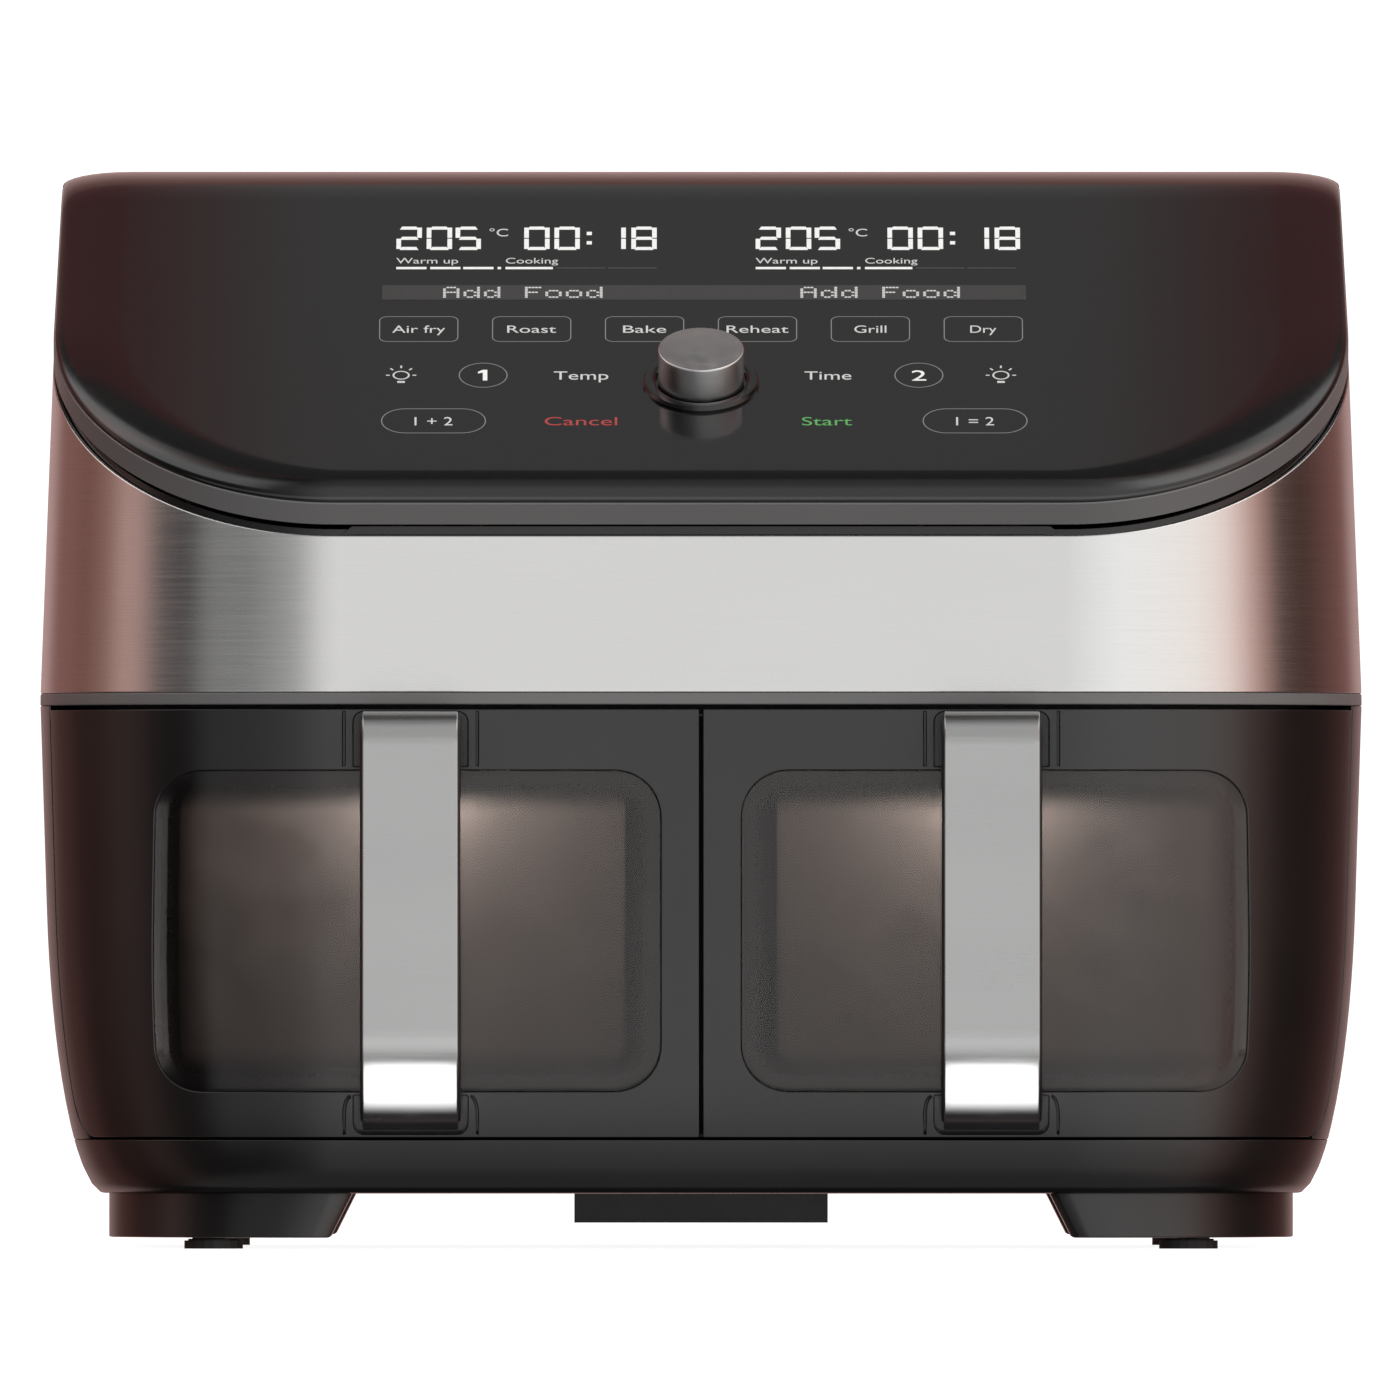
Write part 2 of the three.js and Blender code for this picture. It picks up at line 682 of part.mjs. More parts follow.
function innerGlass() {
  const z = [44, 142];
  const pane = prismZ(tubOutline(-3.3), z).subtract(prismZ(tubOutline(-GAP), [0, FAR]));
  return within(pane, { x: [19.5, 158], y: [-FAR, -100] });
}

function crisperTray() {
  let tray = prismZ(tubOutline(TRAY_GAP), TRAY_Z);
  for (let row = 0; row < 6; row += 1) {
    for (const x of [36, 74, 112]) {
      const y = -116 + row * 42;
      tray = tray.subtract(block([x, x + 26], [y, y + 10], [0, FAR]));
    }
  }
  for (const x of [[28, 34], [142, 148]]) {
    for (const y of [[-104, -98], [112, 118]]) {
      tray = tray.add(block(x, y, [TUB_Z[0] + 2 + GAP, TRAY_Z[0] + 0.5]));
    }
  }
  return tray;
}

// The handle's outer line in side view, moved in by "depth"
function handleLine(depth) {
  const bendZ = HANDLE_TOP_Z - 8;
  const curve = { y: -166, z: 62, height: 27.5 };
  const line = [[-168.7, HANDLE_TOP_Z - depth]];
  for (let i = 0; i <= 3; i += 1) {
    const angle = radians(90 + 90 * i / 3);
    line.push([HANDLE_FRONT_Y + 8 + (8 - depth) * Math.cos(angle),
      bendZ + (8 - depth) * Math.sin(angle)]);
  }
  for (let i = 0; i <= 5; i += 1) {
    const angle = radians(180 + 90 * i / 5);
    line.push([curve.y + (curve.y - HANDLE_FRONT_Y - depth) * Math.cos(angle),
      curve.z + (curve.height - depth) * Math.sin(angle)]);
  }
  line.push([-163.5, curve.z - curve.height + depth]);
  return line;
}

function handleStrip(depths, width) {
  const points = [...handleLine(depths[0]), ...handleLine(depths[1]).reverse()];
  return prismX(points, [HANDLE_X - width / 2, HANDLE_X + width / 2]);
}

function handleGrip() {
  const padX = [HANDLE_X - POCKET_HALF + GAP, HANDLE_X + POCKET_HALF - GAP];
  return handleStrip([2.3, 7], GRIP_WIDTH)
    .add(block(padX, [-180, -168.7], [139.1, 153]))
    .add(block(padX, [-170, -160.8], [38, 45.1]));
}

function addDrawers() {
  const seal = within(shell(4, 11), { x: [0, FAR] }).intersect(windowPrism(0.4))
    .subtract(windowPrism(3.9));
  const pane = within(shell(0.6, 3.6), { x: [0, FAR] }).intersect(windowPrism(0.4));
  addPair('drawer_front', drawerFront(), SATIN_BLACK);
  addPair('window_glass', pane, GLASS);
  addPair('window_seal', seal, RUBBER);
  addPair('basket', basket(), COATED);
  addPair('inner_glass', innerGlass(), GLASS);
  addPair('crisper_tray', crisperTray(), COATED);
  addPair('handle_strap', handleStrip([0, 2], STRAP_WIDTH), BRUSHED_STEEL);
  addPair('handle_grip', handleGrip(), SATIN_BLACK);
}

addBase();
addCovers();
addFront();
addControls();
addChambers();
addDrawers();

export default airFryer;
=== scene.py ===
# %% [markdown]
# # A two-drawer air fryer
#
# The real appliance is a black moulded housing around two sheet-metal chambers. Its front has a
# glossy sloping control panel, a band of brushed steel and two drawers with windows and steel
# strap handles. The CAD frame already fixes every size, joint and opening. This file builds the
# skin you see: smooth shells with true rounded edges, and finishes made from nodes.

# %% Load the frame
import json
import math

import bpy
import numpy as np
from mathutils import Matrix, Vector, geometry

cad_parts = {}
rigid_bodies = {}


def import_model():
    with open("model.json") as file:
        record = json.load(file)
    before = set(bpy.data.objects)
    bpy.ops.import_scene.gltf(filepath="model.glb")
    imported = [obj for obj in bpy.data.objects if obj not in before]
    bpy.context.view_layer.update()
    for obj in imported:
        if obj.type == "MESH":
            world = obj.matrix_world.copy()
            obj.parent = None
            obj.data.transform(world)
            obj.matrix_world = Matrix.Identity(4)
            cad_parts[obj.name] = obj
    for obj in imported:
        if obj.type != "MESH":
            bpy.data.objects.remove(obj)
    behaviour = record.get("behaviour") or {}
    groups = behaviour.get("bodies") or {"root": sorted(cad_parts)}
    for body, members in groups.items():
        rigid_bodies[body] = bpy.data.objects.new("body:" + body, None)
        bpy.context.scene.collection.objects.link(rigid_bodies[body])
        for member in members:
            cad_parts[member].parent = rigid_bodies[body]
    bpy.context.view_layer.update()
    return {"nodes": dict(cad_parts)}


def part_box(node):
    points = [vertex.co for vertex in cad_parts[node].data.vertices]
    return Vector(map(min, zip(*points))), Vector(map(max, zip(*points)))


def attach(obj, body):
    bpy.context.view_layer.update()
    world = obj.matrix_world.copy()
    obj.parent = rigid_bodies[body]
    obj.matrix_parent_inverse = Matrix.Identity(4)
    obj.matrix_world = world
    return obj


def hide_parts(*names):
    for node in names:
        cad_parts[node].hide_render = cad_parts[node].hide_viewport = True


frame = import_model()

# %% [markdown]
# ## Units and driving sizes
#
# Maker's drawings for small appliances are in millimetres, while Blender works in metres. Every
# number below is in millimetres, and MM turns it into metres only when a mesh is made. The outer
# sizes come from the CAD nodes. The radii and drafts are the same ones that the CAD was drawn with.

# %% Sizes
MM = 0.001


def span(node, axis):
    """How far a CAD node reaches along an axis, in millimetres: (lowest, highest)."""
    low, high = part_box(node)
    return low[axis] / MM, high[axis] / MM


HALF_WIDTH = span("bezel", 0)[1]
FRONT_Y = span("bezel", 1)[0]
REAR_Y = span("rear_cover", 1)[1]
TOP_Z = span("top_cover", 2)[1]
SKIRT_Z = (16, span("base_pan", 2)[1] - 0.9)
DRAWER_Z = span("drawer_front_right", 2)
BEZEL_Z = span("bezel", 2)
BAND_REAR_Y = span("steel_band", 1)[1]
DRAWER_EDGE_Y = span("drawer_front_right", 1)[1]
FRONT_RADIUS = 86
REAR_RADIUS = 40
WIDEST_Z = 159
UPPER_DRAFT = 0.0387
LOWER_DRAFT = 0.031
TUCK_TOP = 98
TUCK_HEIGHT = 82
TUCK_DEPTH = 14.3
PANEL_TILT = math.radians(31)
PANEL_EDGE = (-170, 220.2)      # y and z of a point on the sloping panel
ROLL_Y = 1.9                    # where the flat top starts
ROLL_RADIUS = 57
print(f"body {2 * HALF_WIDTH:.0f} wide, front at {FRONT_Y:.0f}, rear at {REAR_Y:.0f}, top at {TOP_Z:.0f}")

# %% [markdown]
# ## The body surface as a formula
#
# The housing is one soft, drafted form: it is widest at the seam between drawers and steel band,
# leans in a little above it, and tucks under towards the base. A subdivision cage could follow it,
# but neighbouring parts have to share the surface exactly or their seams would waver. So the
# surface is a formula. A point is named by its distance around the body, its height and its depth
# under the skin, and each moulding is cut out of that one sheet.

# %% Body surface
CORNER_X = HALF_WIDTH - FRONT_RADIUS
CORNER_Y = FRONT_Y + FRONT_RADIUS
REAR_CORNER_X = HALF_WIDTH - REAR_RADIUS
REAR_CORNER_Y = REAR_Y - REAR_RADIUS
CORNER_LENGTH = FRONT_RADIUS * math.pi / 2
SIDE_LENGTH = REAR_CORNER_Y - CORNER_Y
REAR_CORNER_LENGTH = REAR_RADIUS * math.pi / 2
SIDE_START = CORNER_X + CORNER_LENGTH
SIDE_END = SIDE_START + SIDE_LENGTH
REAR_START = SIDE_END + REAR_CORNER_LENGTH
HALF_LOOP = REAR_START + REAR_CORNER_X


def body_inset(z):
    """How far the outline has drawn in at a height."""
    if z >= WIDEST_Z:
        return (z - WIDEST_Z) * UPPER_DRAFT
    reach = min(1, max(0, TUCK_TOP - z) / TUCK_HEIGHT)
    return (WIDEST_Z - z) * LOWER_DRAFT + TUCK_DEPTH * (1 - math.sqrt(1 - reach * reach))


def around(u, inset):
    """The point at distance u around the outline from the front's middle, and its direction out."""
    if abs(u) > HALF_LOOP:
        u -= math.copysign(2 * HALF_LOOP, u)
    side = math.copysign(1, u)
    u = abs(u)
    if u <= CORNER_X:
        return side * u, FRONT_Y + inset, 0, -1
    if u <= SIDE_START:
        angle = (u - CORNER_X) / FRONT_RADIUS
        out_x, out_y = math.sin(angle), -math.cos(angle)
        radius = FRONT_RADIUS - inset
        return side * (CORNER_X + radius * out_x), CORNER_Y + radius * out_y, side * out_x, out_y
    if u <= SIDE_END:
        return side * (HALF_WIDTH - inset), CORNER_Y + u - SIDE_START, side, 0
    if u <= REAR_START:
        angle = (u - SIDE_END) / REAR_RADIUS
        out_x, out_y = math.cos(angle), math.sin(angle)
        radius = REAR_RADIUS - inset
        return (side * (REAR_CORNER_X + radius * out_x), REAR_CORNER_Y + radius * out_y,
                side * out_x, out_y)
    return side * (HALF_LOOP - u), REAR_Y - inset, 0, 1


def on_body(u, z, depth):
    """A point of the body skin, with its direction out, its direction around and its way up."""
    x, y, out_x, out_y = around(u, body_inset(z) + depth)
    slope = (body_inset(z + 0.05) - body_inset(z - 0.05)) / 0.1
    out = Vector((out_x, out_y, slope)).normalized()
    along = Vector((-out_y, out_x, 0)).normalized()
    return Vector((x, y, z)), out, along, out.cross(along)


def u_at_x(x, z):
    """Distance around the front corner of the point at a given x."""
    if abs(x) <= CORNER_X:
        return x
    angle = math.asin((abs(x) - CORNER_X) / (FRONT_RADIUS - body_inset(z)))
    return math.copysign(CORNER_X + FRONT_RADIUS * angle, x)


def u_at_y(y, z):
    """Distance around to the point at a given y, on the right-hand side."""
    if y >= REAR_CORNER_Y:
        return SIDE_END + REAR_RADIUS * math.asin((y - REAR_CORNER_Y) / (REAR_RADIUS - body_inset(z)))
    if y >= CORNER_Y:
        return SIDE_START + y - CORNER_Y
    return CORNER_X + FRONT_RADIUS * math.acos((CORNER_Y - y) / (FRONT_RADIUS - body_inset(z)))


def top_height(y):
    """Height of the top profile: the sloping panel, the roll-over and the flat top."""
    roll_start = ROLL_Y - ROLL_RADIUS * math.sin(PANEL_TILT)
    if y <= roll_start:
        return PANEL_EDGE[1] + (y - PANEL_EDGE[0]) * math.tan(PANEL_TILT)
    if y >= ROLL_Y:
        return TOP_Z
    return TOP_Z - ROLL_RADIUS + math.sqrt(ROLL_RADIUS ** 2 - (ROLL_Y - y) ** 2)


def height_under_top(u, drop):
    """Height at which the skin at u meets the top profile lowered by drop."""
    z = 250.0
    for _ in range(12):
        z = top_height(around(u, body_inset(z))[1]) - drop
    return z


print(f"around the body: {2 * HALF_LOOP:.0f} mm")

# %% [markdown]
# ## From outlines to plates
#
# A moulding is a plate with a rounded rim, bent onto a surface. A bevel modifier would round the
# rims, but on curved, perforated plates it leaves shading creases that a glossy finish shows up.
# So each plate is meshed directly: its rim is a few rings of points on a true quarter round, and
# the field between them is filled with triangles on the true surface. Each face corner also
# carries the exact surface direction, so reflections run smoothly over the triangles.

# %% Outlines
def round_corners(corners, steps=6):
    """A closed outline from corners (x, y, radius), given anticlockwise."""
    points = []
    for i, (x, y, radius) in enumerate(corners):
        here = Vector((x, y))
        if radius == 0:
            points.append((x, y))
            continue
        back = (Vector(corners[i - 1][:2]) - here).normalized()
        ahead = (Vector(corners[(i + 1) % len(corners)][:2]) - here).normalized()
        half = math.acos(max(-1, min(1, back.dot(ahead)))) / 2
        middle = here + (back + ahead).normalized() * radius / math.sin(half)
        first = here + back * radius / math.tan(half) - middle
        last = here + ahead * radius / math.tan(half) - middle
        sweep = math.atan2(first.x * last.y - first.y * last.x, first.dot(last))
        for k in range(steps + 1):
            turned = Matrix.Rotation(sweep * k / steps, 2) @ first
            points.append(tuple(middle + turned))
    return points


def box_outline(x, y, radius, steps=6):
    """A rectangle between two values of x and of y, with rounded corners."""
    corners = [(x[0], y[0], radius), (x[1], y[0], radius), (x[1], y[1], radius), (x[0], y[1], radius)]
    return round_corners(corners, steps)


def circle(x, y, radius, steps=16):
    turns = [2 * math.pi * k / steps for k in range(steps)]
    return [(x + radius * math.cos(a), y + radius * math.sin(a)) for a in turns]


def divide(loop, longest):
    """Splits the long straight stretches of a closed line, so that it can bend with a surface."""
    points = []
    for i, (x, y) in enumerate(loop):
        next_x, next_y = loop[(i + 1) % len(loop)]
        count = max(1, math.ceil(math.hypot(next_x - x, next_y - y) / longest))
        for k in range(count):
            points.append((x + (next_x - x) * k / count, y + (next_y - y) * k / count))
    return points


def leaning(loop):
    """At each point of a closed line, the step to its left that moves it in by one millimetre."""
    line = np.array(loop)
    ahead = np.roll(line, -1, axis=0) - line
    ahead /= np.linalg.norm(ahead, axis=1)[:, None]
    back = np.roll(ahead, 1, axis=0)
    left = np.stack([-ahead[:, 1], ahead[:, 0]], axis=1)
    left_back = np.stack([-back[:, 1], back[:, 0]], axis=1)
    cosine = np.maximum(0.2, (left * left_back).sum(axis=1))
    return (left + left_back) / (1 + cosine)[:, None]


def enclosed(points, loops):
    """Which points lie inside the outer line and outside the holes."""
    points = np.asarray(points, float).reshape(-1, 2)
    px, py = points[:, 0], points[:, 1]
    hit = np.zeros(len(points), bool)
    for loop in loops:
        for (x0, y0), (x1, y1) in zip(loop, np.roll(loop, -1, axis=0)):
            if y0 != y1:
                hit ^= ((y0 > py) != (y1 > py)) & (px < (x1 - x0) * (py - y0) / (y1 - y0) + x0)
    return hit


def fill(loops, spacing):
    """Triangles between closed lines. Returns every corner point used and the triangles."""
    rim = [tuple(p) for loop in loops for p in loop]
    edges = []
    first = 0
    for loop in loops:
        edges += [(first + i, first + (i + 1) % len(loop)) for i in range(len(loop))]
        first += len(loop)
    lines = [np.array(loop) for loop in loops]
    low, high = lines[0].min(axis=0), lines[0].max(axis=0)
    grid = [(x, y) for x in np.arange(low[0] + spacing / 2, high[0], spacing)
            for y in np.arange(low[1] + spacing / 2, high[1], spacing)]
    inner = []
    if grid:
        grid = np.array(grid)[enclosed(grid, lines)]
        every = np.array(rim)
        inner = [tuple(p) for p in grid if ((every - p) ** 2).sum(axis=1).min() > (spacing * 0.45) ** 2]
    made = geometry.delaunay_2d_cdt([Vector(p) for p in rim + inner], edges, [], 0, 1e-6)
    points = [tuple(p) for p in made[0]]
    middles = [np.mean([points[i] for i in face], axis=0) for face in made[2]]
    kept = enclosed(middles, lines)
    faces = [face for face, keep in zip(made[2], kept) if keep]
    source = [origin[0] if origin else None for origin in made[3]]
    return points, source, faces


# %% Meshes with exact surface directions
class Skin:
    """Points, faces and the surface direction at each face corner, in millimetres."""

    def __init__(self):
        self.points = []
        self.faces = []
        self.directions = []

    def point(self, position):
        self.points.append(Vector(position))
        return len(self.points) - 1

    def face(self, corners, directions):
        self.faces.append(tuple(corners))
        self.directions.append(list(directions))

    def strip(self, first, second, first_out, second_out, closed=True):
        """Faces between two rows of points, with the outside on the right of the rows."""
        count = len(first) if closed else len(first) - 1
        for i in range(count):
            j = (i + 1) % len(first)
            self.face((first[i], second[i], second[j], first[j]),
                      (first_out[i], second_out[i], second_out[j], first_out[j]))


def plate(place, outer, holes=(), depths=(0, 3), edge=(0.8, 0.8), spacing=8.0, steps=4, mend=None,
          ready=False):
    """A plate bent onto a surface. place(u, v, depth) gives a point and its directions.

    edge is the width and the depth of the rounded rim. mend(points, lean, width, drop) may change
    them from point to point. A ready outline isn't divided further.
    """
    skin = Skin()
    loops = [np.array(outer if ready else divide(outer, spacing))]
    loops += [np.array(divide(hole, spacing))[::-1] for hole in holes]
    front_rings, rim_rings = [], []
    for loop in loops:
        lean = leaning(loop)
        width = np.full(len(loop), float(edge[0]))
        drop = np.full(len(loop), float(edge[1]))
        if mend:
            lean, width, drop = mend(loop, lean, width, drop)
        rows, outs = [], []
        for step in range(steps + 1):
            turn = math.pi / 2 * step / steps
            row, out_row = [], []
            for (u, v), (a, b), w, d in zip(loop, lean, width, drop):
                u, v = u + a * w * (1 - math.sin(turn)), v + b * w * (1 - math.sin(turn))
                position, out, along, up = place(u, v, depths[0] + d * (1 - math.cos(turn)))
                sideways = -(along * a + up * b).normalized()
                row.append(skin.point(position))
                out_row.append((out * math.cos(turn) / d + sideways * math.sin(turn) / w).normalized())
                if step == 0:
                    front_rings.append((u, v))
            rows.append(row)
            outs.append(out_row)
        end = [skin.point(place(u, v, depths[1])[0]) for u, v in loop]
        rows.append(end)
        outs.append(outs[-1])
        for step in range(len(rows) - 1):
            skin.strip(rows[step], rows[step + 1], outs[step], outs[step + 1])
        rim_rings.append((rows[0], end))
    sizes = [len(loop) for loop in loops]
    starts = np.cumsum([0] + sizes)
    front_loops = [np.array(front_rings[a:b]) for a, b in zip(starts, starts[1:])]
    for flat_loops, which, depth, facing in ((front_loops, 0, depths[0], 1), (loops, 1, depths[1], -1)):
        known = [index for ring in rim_rings for index in ring[which]]
        points, source, faces = fill(flat_loops, spacing)
        index, outs = [], []
        for (u, v), origin in zip(points, source):
            position, out, _, _ = place(u, v, depth)
            on_rim = origin is not None and origin < len(known)
            index.append(known[origin] if on_rim else skin.point(position))
            outs.append(out * facing)
        for face in faces:
            face = face if facing > 0 else face[::-1]
            skin.face([index[i] for i in face], [outs[i] for i in face])
    return skin


def mirrored(skin):
    """The same part for the other side of the appliance."""
    other = Skin()
    other.points = [Vector((-p.x, p.y, p.z)) for p in skin.points]
    for face, outs in zip(skin.faces, skin.directions):
        other.face(face[::-1], [Vector((-n.x, n.y, n.z)) for n in outs[::-1]])
    return other


# %% From skins to objects
def in_scene(name, data):
    """A new object, linked to the scene."""
    made = bpy.data.objects.new(name, data)
    bpy.context.scene.collection.objects.link(made)
    return made


def show(name, mesh, material, body, slot, nodes=()):
    """Puts a mesh in the scene, riding on a body and standing for CAD nodes."""
    piece = in_scene(name, mesh)
    mesh.materials.append(material)
    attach(piece, body)
    if nodes:
        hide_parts(*nodes)
    return piece


def show_skin(name, skin, *finish, **links):
    mesh = bpy.data.meshes.new(name)
    mesh.from_pydata([p * MM for p in skin.points], [], skin.faces)
    mesh.normals_split_custom_set([tuple(n) for outs in skin.directions for n in outs])
    mesh.validate()
    return show(name, mesh, *finish, **links)


def show_faces(name, points, faces, *finish, smooth=40, **links):
    """A mesh without its own directions: edges sharper than the angle stay crisp."""
    mesh = bpy.data.meshes.new(name)
    mesh.from_pydata([Vector(p) * MM for p in points], [], faces)
    mesh.validate()
    mesh.shade_smooth()
    mesh.set_sharp_from_angle(angle=math.radians(smooth))
    return show(name, mesh, *finish, **links)


print("mesh tools ready")


# %% [markdown]
# ## Finishes
#
# Colours are written as the hex values a colour card gives, which are sRGB, while a shader wants
# linear light, so one function converts them. One more function adds a shader node with its
# settings and links. Texture coordinates are the object's own, and every mesh here keeps its
# origin at the frame's origin, so a pattern runs on across neighbouring parts at its true scale.

# %% Colour and node helpers
def colour(code):
    """Linear RGBA from an sRGB hex code."""
    parts = [int(code[i:i + 2], 16) / 255 for i in (1, 3, 5)]
    linear = [p / 12.92 if p <= 0.04045 else ((p + 0.055) / 1.055) ** 2.4 for p in parts]
    return (*linear, 1)


def add(tree, kind, inputs=(), **settings):
    """Adds a node. Inputs are values, or outputs of other nodes to link from."""
    made = tree.nodes.new("ShaderNode" + kind)
    for key, value in settings.items():
        setattr(made, key, value)
    for key, value in dict(inputs).items():
        if isinstance(value, bpy.types.NodeSocket):
            tree.links.new(value, made.inputs[key])
        else:
            made.inputs[key].default_value = value
    return made


def own_place(tree):
    """The object's own coordinates, which are the frame's, in metres."""
    return add(tree, "TexCoord").outputs["Object"]


def calc(tree, operation, first, second=0.0, **settings):
    """One step of arithmetic on values or outputs."""
    return add(tree, "Math", {0: first, 1: second}, operation=operation, **settings).outputs[0]


def mix(tree, factor, first, second, blend="MIX"):
    """Two colours, laid over each other by a factor."""
    return add(tree, "Mix", {"Factor": factor, 6: first, 7: second}, data_type="RGBA",
               blend_type=blend).outputs[2]


def finish(name, **values):
    """A new material and its Principled shader, with plain values set on the shader."""
    made = bpy.data.materials.new(name)
    made.use_nodes = True
    shader = made.node_tree.nodes["Principled BSDF"]
    for key, value in values.items():
        shader.inputs[key.replace("_", " ")].default_value = value
    return made, made.node_tree, shader


def noise(tree, size, stretch=(1, 1, 1), detail=3):
    """Noise with features of a size in millimetres, stretched along the axes."""
    scaled = add(tree, "Mapping", {"Vector": own_place(tree), "Scale": [1 / s for s in stretch]})
    texture = add(tree, "TexNoise", {"Vector": scaled.outputs[0], "Scale": 1 / (size * MM),
                                     "Detail": detail, "Roughness": 0.55})
    return texture.outputs[0]


def spread(tree, source, low, high, start=0.3, end=0.7):
    """Turns noise around one half into values between low and high."""
    made = add(tree, "MapRange", {"Value": source, "From Min": start, "From Max": end,
                                  "To Min": low, "To Max": high})
    return made.outputs[0]


def tone(tree, factor, low, high):
    """A colour between two hex codes."""
    return mix(tree, factor, colour(low), colour(high))


def bumped(tree, height, depth, strength=1.0):
    """Surface relief: depth is how many millimetres the height's full range stands for."""
    made = add(tree, "Bump", {"Height": height, "Strength": strength, "Distance": depth * MM})
    return made.outputs[0]


def linked(tree, shader, **sources):
    for key, source in sources.items():
        tree.links.new(source, shader.inputs[key.replace("_", " ")])


# %% [markdown]
# ### Moulded plastics
#
# Housings like this are injection moulded in ABS. The tool is spark eroded, which leaves a fine
# grain, and handling polishes it unevenly. The satin parts therefore get a grain bump of about
# half a millimetre, coarser than the real one so that it survives at this distance, and a slow
# drift in roughness. The panel is the same black under a clear gloss coat, so its grain is almost
# nothing and its reflections are sharp.

# %% Plastics and rubbers
def moulded(name, dark, light, roughness, grain, relief, **values):
    """A moulded finish. dark and light are its tones, roughness its range."""
    made, tree, shader = finish(name, **values)
    patches = noise(tree, 45, detail=4)
    fine = noise(tree, grain, detail=2)
    rough = spread(tree, patches, *roughness)
    rougher = calc(tree, "ADD", rough, spread(tree, fine, -0.03, 0.03))
    linked(tree, shader, Base_Color=tone(tree, patches, dark, light), Roughness=rougher,
           Normal=bumped(tree, fine, relief))
    return made


# Satin black ABS: deep black with a soft, slightly broken sheen.
satin_abs = moulded("satin_black_abs", "#161515", "#1d1b1b", (0.20, 0.26), 0.6, 0.008)
# Gloss black panel: looks like glass, with reflections that stay sharp.
gloss_panel = moulded("gloss_black_panel", "#0d0d0d", "#111010", (0.13, 0.17), 3.0, 0.002,
                      Coat_Weight=0.3, Coat_Roughness=0.04)
# Trim grey: the dark grey satin band under the panel and over the drawers.
trim_grey = moulded("trim_dark_grey", "#686868", "#6e6e6e", (0.34, 0.42), 0.6, 0.010)
# Silicone rubber: no gloss, a dusty dark surface.
rubber = moulded("silicone_rubber", "#161616", "#1f1e1e", (0.62, 0.75), 0.8, 0.03)
# Shadow black: a black darker than the satin housing, painted shade for the grip lining and the parts
# inside and under the body, with the rough finish of the unfinished inside faces of the mouldings.
black_with_painted_shade = moulded("inner_black_abs", "#0a0a0a", "#0f0f0f", (0.5, 0.6), 0.9, 0.02)

# %% [markdown]
# ### Metals
#
# The band and the handles are brushed stainless steel. Brushing scratches run around the body, so
# they spread every highlight up and down, while along the scratches it stays tight: this is what
# makes the bright and dark columns on the band. The shader's anisotropy does the spreading, and a
# noise stretched along the brushing direction draws the scratches themselves. Real scratches are
# about 0.05 mm wide. These are drawn 0.4 mm wide, so that they still show at this distance.

# %% Metals
def brushed(name, dark, light, roughness, stretch, width, relief, anisotropy):
    """A metal brushed around the Z axis."""
    made, tree, shader = finish(name, Metallic=1.0, Anisotropic=anisotropy, Anisotropic_Rotation=0.25)
    streaks = noise(tree, width, stretch, detail=4)
    patches = noise(tree, 30, (3, 3, 1))
    rough = calc(tree, "ADD", spread(tree, streaks, -0.04, 0.04), spread(tree, patches, *roughness))
    turn = add(tree, "Tangent", direction_type="RADIAL", axis="Z")
    linked(tree, shader, Base_Color=tone(tree, streaks, dark, light), Roughness=rough,
           Normal=bumped(tree, streaks, relief), Tangent=turn.outputs[0])
    return made


# Brushed stainless steel: horizontal grain, columns of light and dark around the corners.
brushed_steel = brushed("brushed_stainless_steel", "#c7c7c6", "#d2d2d1", (0.24, 0.29), (90, 90, 1),
                        0.4, 0.0006, 0.75)
# Fine-brushed handle steel: a shade darker, with a softer, rounder gloss at its bends.
handle_steel = brushed("fine_brushed_handle_steel", "#9a9a9a", "#a5a5a5", (0.20, 0.26), (60, 60, 1),
                       0.35, 0.0006, 0.25)
# Mill-finish sheet steel: the chambers and brackets, duller and blotchy.
sheet_steel = brushed("mill_finish_sheet_steel", "#8b8a88", "#a3a19e", (0.38, 0.5), (4, 4, 1),
                      1.5, 0.004, 0.2)


def turned_metal(name, dark, light, roughness, centre):
    """A metal turned on a lathe: fine rings around the centre."""
    made, tree, shader = finish(name, Metallic=1.0)
    offset = add(tree, "VectorMath", {0: own_place(tree), 1: centre}, operation="SUBTRACT")
    distance = add(tree, "VectorMath", {0: offset.outputs[0]}, operation="LENGTH")
    rings = add(tree, "TexNoise", {"W": distance.outputs["Value"], "Scale": 1 / (0.45 * MM),
                                   "Detail": 2}, noise_dimensions="1D")
    linked(tree, shader, Base_Color=tone(tree, rings.outputs[0], dark, light),
           Roughness=spread(tree, noise(tree, 6), *roughness),
           Normal=bumped(tree, rings.outputs[0], 0.004))
    return made


# %% [markdown]
# ### Glass, coating and the other finishes
#
# The windows are two panes of tempered glass. Tracing light through solid glass makes the small
# lit chambers noisy, and a flat pane hardly bends the view, so the pane is a mix of a clear
# tinted shader and a sharp gloss, in the ratio that Fresnel's law gives.

# %% Glass
def pane(name, tint, ior, smear):
    """Clear glass: a tint for what passes through it, and reflection by Fresnel's law."""
    made = bpy.data.materials.new(name)
    made.use_nodes = True
    tree = made.node_tree
    tree.nodes.remove(tree.nodes["Principled BSDF"])
    film = spread(tree, noise(tree, 25, detail=4), *smear)
    clear = add(tree, "BsdfTransparent", {"Color": colour(tint)})
    gloss = add(tree, "BsdfGlossy", {"Color": (1, 1, 1, 1), "Roughness": film})
    share = add(tree, "Fresnel", {"IOR": ior})
    both = add(tree, "MixShader", {0: share.outputs[0], 1: clear.outputs[0], 2: gloss.outputs[0]})
    tree.links.new(both.outputs[0], tree.nodes["Material Output"].inputs["Surface"])
    return made


